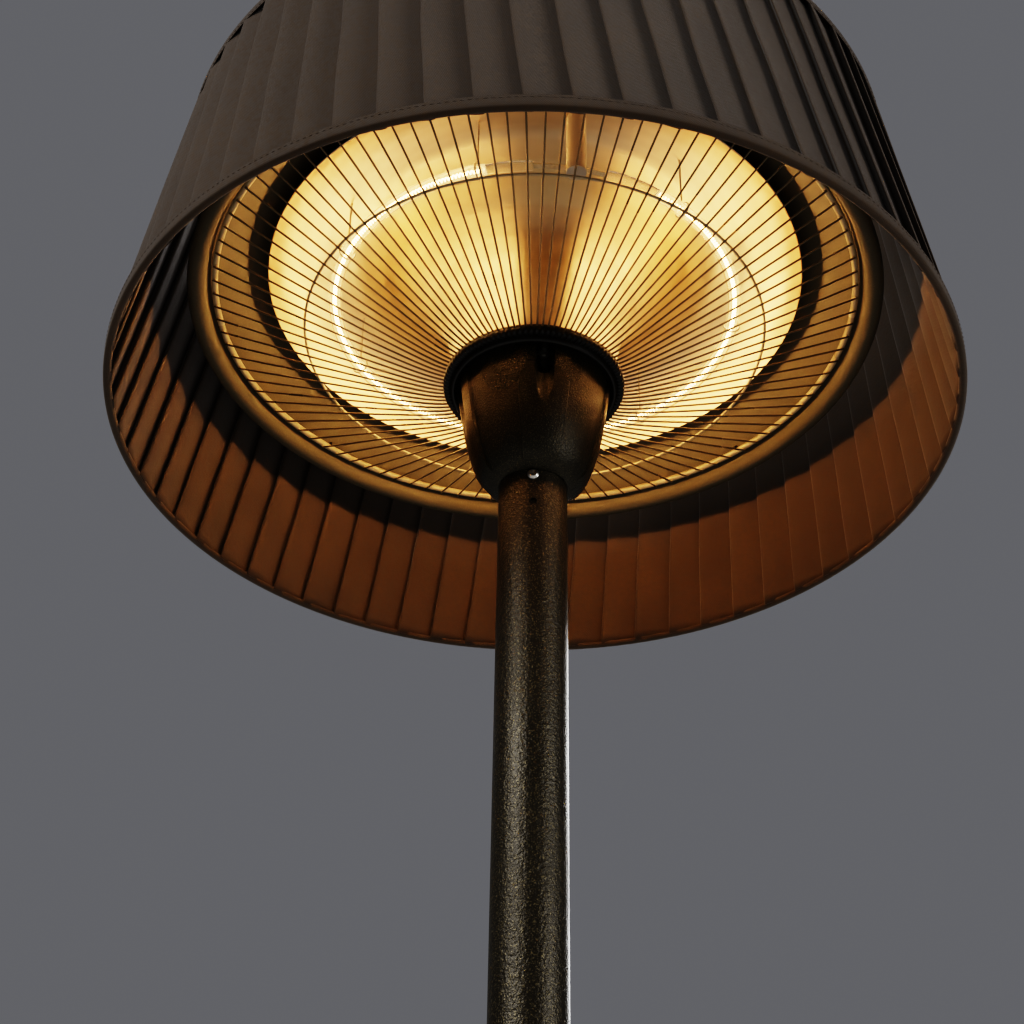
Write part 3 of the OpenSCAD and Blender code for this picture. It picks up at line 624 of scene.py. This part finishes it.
# %% Small metals, ceramics, rubbers and plastics
def plain_metal(name, colour, roughness, scratch=0.3 * MM):
    finish, tree, shader = start_finish(name, colour, roughness, 1.0)
    where = place_coordinates(tree)[0]
    blotch = noise(tree, 120.0, 4.0, where, 0.6)
    fine = noise(tree, calc(tree, "DIVIDE", 1.0, scratch), 3.0, where, 0.7)
    darker = tuple(0.72 * c for c in colour)
    tree.links.new(mixed(tree, ramp(tree, blotch, 0.35, 0.7), colour, darker), shader.inputs["Base Color"])
    tree.links.new(ramp(tree, blotch, 0.3, 0.7, roughness - 0.05, roughness + 0.15),
                   shader.inputs["Roughness"])
    bump(tree, shader, fine, 0.02 * MM)
    return finish


def moulded(name, colour, roughness, grain=0.5 * MM, depth=0.05 * MM, dust=0.15):
    finish, tree, shader = start_finish(name, colour, roughness)
    skin = place_group(tree, GRAIN, Pebble=grain, Dimple=6 * grain)
    dusty = place_group(tree, DUST, Amount=dust)["Mask"]
    lighter = tuple(min(1.0, 1.25 * c + 0.004) for c in colour)
    tone = mixed(tree, ramp(tree, skin["Drift"], 0.35, 0.7), colour, lighter)
    tree.links.new(mixed(tree, dusty, tone, (0.33, 0.31, 0.28)), shader.inputs["Base Color"])
    tree.links.new(ramp(tree, skin["Drift"], 0.3, 0.7, roughness - 0.05, roughness + 0.08),
                   shader.inputs["Roughness"])
    bump(tree, shader, skin["Height"], depth)
    return finish


ZINC = plain_metal("zinc_plate", (0.62, 0.61, 0.58), 0.28)
NICKEL = plain_metal("heat_tinted_nickel", (0.50, 0.45, 0.38), 0.34)
STRIP_METAL = plain_metal("satin_lead_strip", (0.78, 0.66, 0.44), 0.6)
CAST = moulded("cast_concrete", (0.30, 0.29, 0.27), 0.9, 1.5 * MM, 0.3 * MM)
RUBBER = moulded("black_rubber", (0.022, 0.022, 0.022), 0.78, 0.6 * MM)
BLACK_PLASTIC = moulded("black_plastic", (0.020, 0.020, 0.021), 0.48)
BUTTON_PLASTIC = moulded("satin_button", (0.018, 0.018, 0.020), 0.32, 0.3 * MM, 0.02 * MM)
WHITE_PLASTIC = moulded("ivory_plastic", (0.72, 0.68, 0.60), 0.45, 0.4 * MM, 0.03 * MM)
RED_PLASTIC = moulded("red_plunger", (0.45, 0.035, 0.025), 0.35, 0.3 * MM, 0.02 * MM)
STEATITE = moulded("steatite_ceramic", (0.38, 0.33, 0.26), 0.6, 0.6 * MM, 0.05 * MM, 0.0)
GLASS_SLEEVE = moulded("glass_fibre_sleeve", (0.70, 0.66, 0.58), 0.8, 0.5 * MM, 0.2 * MM, 0.0)
print("small finishes made")

# %% [markdown]
# ## Finishes on the engineering model's own pieces
# Tubes, screws, nuts, boxes and switches already have their true shape. They keep their
# meshes and only take a finish.

# %% Finishing the kept pieces
KEPT = {
    POLE_PAINT: ["lower_pole", "middle_pole", "upper_pole", "pole_socket", "shade_finial", "head_stem"],
    BASE_PAINT: ["base_plate", "base_cover", "junction_box", "junction_box_lid", "shade_spider"],
    CAST: ["base_weight"],
    RUBBER: ["rubber_feet", "supply_lead"],
    ZINC: ["socket_bolts", "socket_nuts", "socket_screws", "foot_switch_spring", "tilt_plunger_spring",
           "lower_joint_sleeve", "upper_joint_sleeve", "joint_screws", "pole_top_screw",
           "cup_screws", "reflector_spacers", "lid_screws", "thermal_cutout", "stem_nut",
           "shade_stud", "stud_nut"],
    BLACK_PLASTIC: ["foot_switch_body", "cable_gland", "gland_nut"],
    BUTTON_PLASTIC: ["foot_switch_button"],
    WHITE_PLASTIC: ["tilt_switch_body", "terminal_block"],
    RED_PLASTIC: ["tilt_plunger"],
    GUARD_ENAMEL: ["guard_studs", "shade_top_ring", "shade_bottom_ring"],
    STRIP_METAL: ["lamp_lead_strips"],
    NICKEL: ["lamp_clips"],
    STEATITE: ["lamp_holder"],
    GLASS_SLEEVE: ["lamp_leads"],
}
for finish, nodes in KEPT.items():
    for node in nodes:
        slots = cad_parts[node].material_slots
        for slot in slots:
            slot.link = "OBJECT"
            slot.material = finish
print(sum(len(nodes) for nodes in KEPT.values()), "kept pieces finished")

# %% [markdown]
# ## Pleated shade
# The shade is one strip of cloth laid in knife pleats: each face runs outwards from a fold to
# a tuck under the next fold, where the cloth turns back. A wave in a cylinder would look
# like that only from straight ahead. Following the folded strip itself gives real overlaps,
# shadow gaps and layers at the hem.

# %% Pleat path
PLEATS = 64
PLEAT_DEPTH = 6.6 * MM
LEAN = math.radians(6.0)
# (share of a pleat's width, share of its depth), from one fold to the next
FOLD_PATH = [(0.0, 0.12), (0.05, 0.0), (0.18, 0.05), (0.36, 0.18), (0.54, 0.37), (0.72, 0.59),
             (0.90, 0.81), (1.06, 0.96), (1.15, 1.0), (1.185, 0.95), (1.16, 0.80), (1.09, 0.55), (1.03, 0.30)]


def pleat_line(spans=2):
    closing = [(FOLD_PATH[0][0] + 1, FOLD_PATH[0][1])]
    before, after = FOLD_PATH[-1], (FOLD_PATH[1][0] + 1, FOLD_PATH[1][1])
    line = curved([(before[0] - 1, before[1])] + FOLD_PATH + closing + [after], spans)
    return line[spans:spans + spans * len(FOLD_PATH)]


PLEAT_LINE = pleat_line()
print("a pleat has", len(PLEAT_LINE), "points across")


# %% Pleated cloth
def pleated_cloth(rows=30):
    low, high = 1.5 * MM, SHADE_H - 1.5 * MM
    taper = (SHADE_R - (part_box("shade_top_ring")[1].x + 7.5 * MM)) / (SHADE_H - 4 * MM)
    widths = [1 + random.uniform(-0.035, 0.035) for _ in range(PLEATS)]
    starts = [sum(widths[:k]) / sum(widths) * PLEATS for k in range(PLEATS)]
    depths = [random.uniform(0.86, 1.0) for _ in range(PLEATS)]
    sways = [(random.uniform(0, math.tau), random.uniform(0.006, 0.02), random.uniform(1.0, 2.4))
             for _ in range(PLEATS)]
    points = []
    for i in range(rows):
        up = i / (rows - 1)
        z = low + (high - low) * up
        outer = SHADE_R - 0.4 * MM - taper * z
        pressed = 1 - 0.35 * math.exp(-z / (5 * MM)) - 0.35 * math.exp(-(SHADE_H - z) / (6 * MM))
        for k in range(PLEATS):
            phase, sway, wave = sways[k]
            shift = sway * math.sin(phase + wave * math.tau * up) * math.sin(math.pi * up)
            for share, depth in PLEAT_LINE:
                puff = 0.05 * math.sin(math.pi * min(share, 1)) * math.sin(math.pi * up + phase * 0.3)
                inward = (1 - min(1, max(0, depth - puff))) * PLEAT_DEPTH * depths[k] * pressed
                turned = starts[k] + share * widths[k] + shift
                angle = 90 - 360 * turned / PLEATS - math.degrees(z * math.tan(LEAN) / SHADE_R)
                radius = outer - (PLEAT_DEPTH * (1 - pressed) * 0.5) - inward
                points.append(at(angle + 90, radius, RIM_Z + z))
    columns = PLEATS * len(PLEAT_LINE)
    middle = points[(rows // 2) * columns:(rows // 2 + 1) * columns]
    length = sum((middle[j] - middle[j - 1]).length for j in range(columns))
    cloth = mesh_piece("pleated_shade", points, grid_faces(rows, columns, False, True), 75)
    thick = cloth.modifiers.new("cloth_thickness", "SOLIDIFY")
    thick.thickness = 0.45 * MM
    thick.offset = 0
    return cloth, length


pleated_shade, cloth_length = pleated_cloth()
stands_for(pleated_shade, ["shade_fabric"], SHADE_CLOTH)
print("the strip is", round(cloth_length, 2), "m long before pleating")


# %% [markdown]
# ## Hems
# A bias tape closes each edge of the shade and holds the wire ring. It wraps under the
# pleats, and a row of small stitches runs along it outside.

# %% Hem tapes and stitches
def hem_tape(name, centre_r, centre_z, half_w, inner_h, outer_h, side):
    """A U of cloth round the edge; side is +1 where it opens upwards and -1 downwards."""
    skin = 0.5 * MM
    line = curved([(centre_r - half_w, centre_z + side * inner_h), (centre_r - half_w, centre_z),
                   (centre_r - half_w * 0.6, centre_z - side * 1.6 * MM),
                   (centre_r, centre_z - side * 2.1 * MM),
                   (centre_r + half_w * 0.6, centre_z - side * 1.6 * MM), (centre_r + half_w, centre_z),
                   (centre_r + half_w, centre_z + side * outer_h)], 3)
    return spun(name, shell(line, skin * side), 360)


def stitches(name, radius, z, count):
    paths = []
    for k in range(count):
        first, last = 360 * (k + 0.18) / count, 360 * (k + 0.82) / count
        paths.append([at(first + (last - first) * t, radius + bulge * MM, z)
                      for t, bulge in ((0, -0.25), (0.25, 0.12), (0.75, 0.12), (1, -0.25))])
    return wires(name, paths, 0.22 * MM, 5)


lower_hem = hem_tape("lower_hem_tape", HEM_R, RIM_Z + 2.2 * MM, 2.9 * MM, 1.5 * MM, 8 * MM, 1)
top_centre = TOP_RING_R + TOP_RING_WIRE + 4.4 * MM
upper_hem = hem_tape("upper_hem_tape", top_centre, RIM_Z + SHADE_H - 2.2 * MM, 3.1 * MM, 6 * MM, 6 * MM, -1)
for tape in (lower_hem, upper_hem):
    stands_for(tape, [], SHADE_CLOTH)
lower_stitches = stitches("lower_hem_stitches", HEM_R + 2.9 * MM, RIM_Z + 8 * MM, 420)
upper_stitches = stitches("upper_hem_stitches", top_centre + 3.1 * MM, RIM_Z + SHADE_H - 6.5 * MM, 380)
for thread in (lower_stitches, upper_stitches):
    stands_for(thread, [], SHADE_CLOTH)


# %% [markdown]
# ## Reflector and hood
# Both are spun from sheet: a blank is pressed over a turning former, so every line on them is
# a ring. A smooth curve through a few radii and heights gives the former's shape.

# %% Spun sheet metal
REFLECTOR_LINE = [(59, 50), (61.5, 70), (66, 92), (75, 115), (90, 135), (110, 151), (128, 160),
                  (141, 163.2), (159, 163.2), (171, 160.5), (183, 154.5), (193, 145.5), (200.8, 132.2)]
HOOD_LINE = [(24, 190), (60, 190), (100, 188), (135, 183), (160, 175.5), (185, 163), (204, 148),
             (222, 133.5), (239, 118.9), (242.4, 116.2), (243.9, 113.4)]
BRIM_CENTRE, BRIM_ROLL = (251.8, 109.4), 7


def in_place(line):
    return [(radius * MM, RIM_Z + height * MM) for radius, height in line]


def brim_arc(steps=16):
    turns = [math.radians(190 + 162 * k / steps) for k in range(steps + 1)]
    return [(BRIM_CENTRE[0] + BRIM_ROLL * math.cos(a), BRIM_CENTRE[1] + BRIM_ROLL * math.sin(a))
            for a in turns]


reflector_line = curved(in_place(REFLECTOR_LINE), 6)
reflector = spun("spun_reflector", shell(reflector_line, 0.8 * MM), 360)
stands_for(reflector, ["reflector"], REFLECTOR_METAL)
hood = spun("spun_hood", shell(curved(in_place(HOOD_LINE), 5) + in_place(brim_arc()), 1 * MM), 360)
stands_for(hood, ["hood"], HOOD_PAINT)


# %% [markdown]
# ## Guard
# The radial wires lie against two rings and meet the hub flange almost level, so each wire
# has a soft bend near the hub. A bead of weld joins it to each ring it crosses.

# %% Guard wires and rings
WIRES = 104
WIRE_R = 0.75 * MM
FLANGE_R = (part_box("hub_flange")[1].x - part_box("hub_flange")[0].x) / 2
SLOPE = (GUARD_Z - MID_Z - (GUARD_WIRE - MID_WIRE)) / (GUARD_R - MID_R)
TILT = math.cos(math.atan(SLOPE))


def wire_height(radius):
    straight = GUARD_Z - (GUARD_WIRE + WIRE_R) / TILT + SLOPE * (radius - GUARD_R)
    return straight + 3.2 * MM * math.exp(-(radius - FLANGE_R) / (12 * MM))


def guard_wire_paths():
    paths = []
    stops = [FLANGE_R - 1.5 * MM + 4 * MM * k for k in range(10)]
    stops += [110 * MM, 140 * MM, 180 * MM, GUARD_R + 1.4 * MM]
    for k in range(WIRES):
        azimuth = 360 * (k + 0.5) / WIRES + random.uniform(-0.05, 0.05)
        paths.append([at(azimuth, r, wire_height(r)) for r in stops])
    return paths


def ring_path(radius, z, steps=256):
    return [at(360 * k / steps, radius, z) for k in range(steps)]


def weld_beads(name, radius, z, size):
    """A small flattened drop of weld metal where each wire crosses a ring."""
    points, faces = [], []
    for k in range(WIRES):
        centre = at(360 * (k + 0.5) / WIRES, radius, z)
        first = len(points)
        for ring in range(1, 4):
            lift, wide = math.cos(math.pi * ring / 4), math.sin(math.pi * ring / 4)
            for turn in range(8):
                a = math.tau * turn / 8
                points.append(centre + Vector((math.cos(a) * wide, math.sin(a) * wide, 0.7 * lift)) * size)
        points += [centre + Vector((0, 0, 0.7 * size)), centre - Vector((0, 0, 0.7 * size))]
        faces += [tuple(first + v for v in f) for f in grid_faces(3, 8, False, True)]
        faces += [(first + (t + 1) % 8, first + t, first + 24) for t in range(8)]
        faces += [(first + 16 + t, first + 16 + (t + 1) % 8, first + 25) for t in range(8)]
    return mesh_piece(name, points, faces, 80)


radial_wires = wires("radial_guard_wires", guard_wire_paths(), WIRE_R, 8)
outer_ring = wires("outer_guard_ring", [ring_path(GUARD_R, GUARD_Z)], GUARD_WIRE, 14, closed=True)
middle_ring = wires("middle_guard_ring", [ring_path(MID_R, MID_Z)], MID_WIRE, 10, closed=True)
outer_welds = weld_beads("outer_ring_welds", GUARD_R - 0.4 * MM, GUARD_Z - GUARD_WIRE - 0.1 * MM, 1.3 * MM)
middle_welds = weld_beads("middle_ring_welds", MID_R, MID_Z - MID_WIRE, 1.0 * MM)
stands_for(radial_wires, ["guard_wires"], GUARD_WIRE_PAINT)
# The rings and welds carry the painted highlight of the lamp's light.
for piece, nodes in ((outer_ring, ["guard_outer_ring"]), (middle_ring, ["guard_mid_ring"]),
                     (outer_welds, []), (middle_welds, [])):
    stands_for(piece, nodes, GUARD_RING_GLOW_PAINT)


# %% [markdown]
# ## Hub
# The hub is a cast cup with four raised panels. Each panel has a scoop that lets a
# screwdriver reach the screw under the flange. A grid around the cup is pushed out at the
# panels and in at the scoops, which keeps the edges as soft as a casting's.

# %% Hub cup
CUP_LINE = [(25.2, -52), (29.5, -50), (33.8, -46), (38.8, -37), (43.6, -22), (46.8, -8),
            (50.2, 11), (52.4, 26), (53.7, 37)]
PANELS = 4
PANEL_FIRST = 8.5
PANEL_HALF = 21
SCOOP_R, SCOOP_AT, SCOOP_TIP, SCOOP_LEAN = 6.3, 54.5, -8, math.tan(math.radians(2.8))
PANEL_RAISE = 1.8
POCKET_R, POCKET_FROM, POCKET_AT = 4.6, 16, 45.5


def smooth(value, low, high):
    t = min(1, max(0, (value - low) / (high - low)))
    return t * t * (3 - 2 * t)


def bore_wall(centre, bore_r, side):
    """The inner wall, as a radius, of an upright bore cut into the cup's side."""
    return centre - math.sqrt(bore_r**2 - side**2) if abs(side) < bore_r else 999


def cup_shape(azimuth, radius, z):
    height = (z - RIM_Z) / MM
    if radius < 33.5 * MM and height > -44:
        return radius, z
    if radius < 24.6 * MM:
        return radius, z
    off = (azimuth - PANEL_FIRST + 180 / PANELS) % (360 / PANELS) - 180 / PANELS
    raised = (1 - smooth(abs(off), PANEL_HALF - 0.6, PANEL_HALF + 0.4)) * smooth(height, -51, -44)
    surface = radius / MM + PANEL_RAISE * raised * (1 - smooth(height, 33.5, 36))
    side = radius * math.sin(math.radians(off)) / MM
    wall = bore_wall(SCOOP_AT - (height - SCOOP_TIP) * SCOOP_LEAN, SCOOP_R, side)
    if height > POCKET_FROM:
        wall = min(wall, bore_wall(POCKET_AT, POCKET_R, side))
    cut = max(-9, surface - wall)
    return (surface - (cut + math.sqrt(cut**2 + 0.25)) / 2) * MM, z


def cup_outline():
    side = curved([(r * MM, RIM_Z + h * MM) for r, h in CUP_LINE], 14)
    inner = [(33 * MM, RIM_Z + 36.9 * MM), (33 * MM, RIM_Z - 20 * MM), (24.3 * MM, RIM_Z - 30 * MM),
             (24.15 * MM, RIM_Z - 52 * MM)]
    return side + inner


hub_cup = spun("hub_cup_casting", cup_outline(), 900, cup_shape, 30)
stands_for(hub_cup, ["hub_cup"], CUP_PAINT)


# %% [markdown]
# ## Hub flange
# The wires end in a dark flange with a rib for each wire. Shaping the ribs while the outline
# is turned makes all of them at once and keeps them in step with the wires.

# %% Hub flange
FLANGE_LINE = [(34, 37), (55.6, 37), (56.6, 36.2), (57.4, 34.4), (58.6, 33.8), (59.8, 34.2),
               (60.5, 35.8), (61.2, 37.6), (62, 38), (65, 38.4), (66, 39.2), (66, 43.4), (65.2, 44.6),
               (60, 46.8), (57.5, 47.9), (34, 47.9)]


def flange_ribs(azimuth, radius, z):
    height = (z - RIM_Z) / MM
    if 61.5 * MM < radius < 65.9 * MM and height < 40:
        wave = 0.5 + 0.5 * math.cos(math.radians(azimuth * WIRES))
        return radius, z - 1.7 * MM * wave
    return radius, z


hub_flange = spun("ribbed_hub_flange", in_place(FLANGE_LINE), WIRES * 8, flange_ribs, 50)
stands_for(hub_flange, ["hub_flange"], GUARD_ENAMEL)

# %% [markdown]
# ## Lamp
# The lamp is a quartz tube bent into a ring, with a coiled filament held by little
# discs. Its two ends are pinched flat and meet at a ceramic post near the front.

# %% Lamp ring
GLASS_FROM, GLASS_TO = 34.0, 347.0
COIL_R, COIL_WIRE = 1.15 * MM, 0.42 * MM
LEFT_PINCH, RIGHT_PINCH = (-13.0, -0.8), (18.8, 34.0)


def lamp_point(azimuth, outward, up):
    return at(azimuth, LAMP_R + outward, LAMP_Z + up)


def lamp_tube():
    steps, sides = 260, 20
    points = []
    for i in range(steps):
        share = i / (steps - 1)
        azimuth = GLASS_FROM + (GLASS_TO - GLASS_FROM) * share
        near_end = min(share, 1 - share) * math.radians(GLASS_TO - GLASS_FROM) * LAMP_R
        close = smooth(near_end, 0, 7 * MM)
        for k in range(sides):
            turn = math.tau * k / sides
            half_height = QUARTZ_R * (0.32 + 0.68 * close)
            points.append(lamp_point(azimuth, QUARTZ_R * math.cos(turn), half_height * math.sin(turn)))
    tube = mesh_piece("quartz_lamp_ring", points, grid_faces(steps, sides, False, True), 60)
    wall = tube.modifiers.new("glass_wall", "SOLIDIFY")
    wall.thickness = 1.1 * MM
    wall.offset = -1
    return tube


def filament_path(turns=300, per_turn=9):
    path = []
    for i in range(turns * per_turn + 1):
        azimuth = GLASS_FROM + 2 + (GLASS_TO - GLASS_FROM - 4) * i / (turns * per_turn)
        turn = math.tau * i / per_turn
        path.append(lamp_point(azimuth, COIL_R * math.cos(turn), COIL_R * math.sin(turn)))
    return path


quartz_ring = lamp_tube()
stands_for(quartz_ring, ["lamp_tube"], QUARTZ)
quartz_ring.visible_shadow = False
filament = wires("coiled_filament", [filament_path()], COIL_WIRE, 5)
stands_for(filament, ["lamp_filament"], TUNGSTEN)


# %% [markdown]
# ## Filament supports and pinched ends
# Small wire rings hold the coil in the middle of the tube, and each end of the tube is pinched
# flat around its lead. A rounded border along the pinch lets it read as glass.

# %% Filament supports and pinched ends
def support_discs(count=36):
    paths = []
    for k in range(count):
        azimuth = GLASS_FROM + (GLASS_TO - GLASS_FROM) * (k + 0.5) / count
        paths.append([lamp_point(azimuth, 3.4 * MM * math.cos(a), 3.4 * MM * math.sin(a))
                      for a in (math.tau * s / 14 for s in range(14))])
    return wires("filament_support_rings", paths, 0.25 * MM, 5, closed=True)


def pinched_end(name, first, last):
    """A flat pinch with thick rounded borders, widest in the middle of its length."""
    steps, outline = 26, []
    for k in range(20):
        a = math.tau * k / 20
        edge = 1 + 0.6 * abs(math.cos(a)) ** 6
        outline.append((5 * MM * math.copysign(abs(math.cos(a)) ** 0.6, math.cos(a)),
                        1.0 * MM * edge * math.sin(a)))
    points = []
    for i in range(steps):
        azimuth = first + (last - first) * i / (steps - 1)
        swell = 1 + 0.12 * math.sin(math.pi * i / (steps - 1))
        points += [lamp_point(azimuth, r * swell * 0.92, u) for r, u in outline]
    faces = grid_faces(steps, 20, False, True)
    faces += [tuple(reversed(range(20))), tuple((steps - 1) * 20 + k for k in range(20))]
    return mesh_piece(name, points, faces, 60)


supports = support_discs()
stands_for(supports, [], NICKEL)
left_pinch = pinched_end("left_pinched_end", *LEFT_PINCH)
right_pinch = pinched_end("right_pinched_end", *RIGHT_PINCH)
stands_for(left_pinch, ["lamp_end_seals"], PINCH_QUARTZ)
stands_for(right_pinch, [], PINCH_QUARTZ)
for pinch in (left_pinch, right_pinch):
    pinch.visible_shadow = False

# %% [markdown]
# ## Studio
# A plain pale floor and soft light from above and both sides keep the outside of the heater
# readable, while staying dim enough for the lamp's own light to show under the shade.

# %% Floor and lights
WORLD_LEVEL = 0.13
world = bpy.data.worlds.new("studio")
world.use_nodes = True
world.node_tree.nodes["Background"].inputs["Color"].default_value = (0.93, 0.94, 1.0, 1)
world.node_tree.nodes["Background"].inputs["Strength"].default_value = WORLD_LEVEL
bpy.context.scene.world = world

floor = mesh_piece("floor", [(-12, -12, 0), (12, -12, 0), (12, 12, 0), (-12, 12, 0)], [(0, 1, 2, 3)])
floor_finish, floor_tree, floor_shader = start_finish("pale_floor", (0.62, 0.60, 0.57), 0.7)
seen_from_below = floor_tree.nodes.new("ShaderNodeNewGeometry").outputs["Backfacing"]
clear = floor_tree.nodes.new("ShaderNodeBsdfTransparent")
chooser = floor_tree.nodes.new("ShaderNodeMixShader")
floor_tree.links.new(seen_from_below, chooser.inputs[0])
floor_tree.links.new(floor_shader.outputs[0], chooser.inputs[1])
floor_tree.links.new(clear.outputs[0], chooser.inputs[2])
floor_tree.links.new(chooser.outputs[0], floor_tree.nodes["Material Output"].inputs["Surface"])
floor.data.materials.append(floor_finish)


def soft_light(name, place, size, power, colour=(1, 1, 1)):
    light = bpy.data.lights.new(name, "AREA")
    light.shape = "DISK"
    light.size = size
    light.energy = power
    light.color = colour
    lamp = bpy.data.objects.new(name, light)
    lamp.location = place
    lamp.rotation_mode = "QUATERNION"
    lamp.rotation_quaternion = (Vector((0, 0, 1.3)) - Vector(place)).to_track_quat("-Z", "Y")
    bpy.context.scene.collection.objects.link(lamp)
    return lamp


soft_light("key_light", (-2.6, -2.4, 3.6), 2.2, 85)
soft_light("fill_light", (3.0, -1.6, 2.2), 2.4, 45)
soft_light("back_light", (0.8, 3.2, 3.4), 2.2, 70)
bpy.context.scene.view_settings.view_transform = "Filmic"
bpy.context.scene.view_settings.look = "Very High Contrast"
print("studio ready")
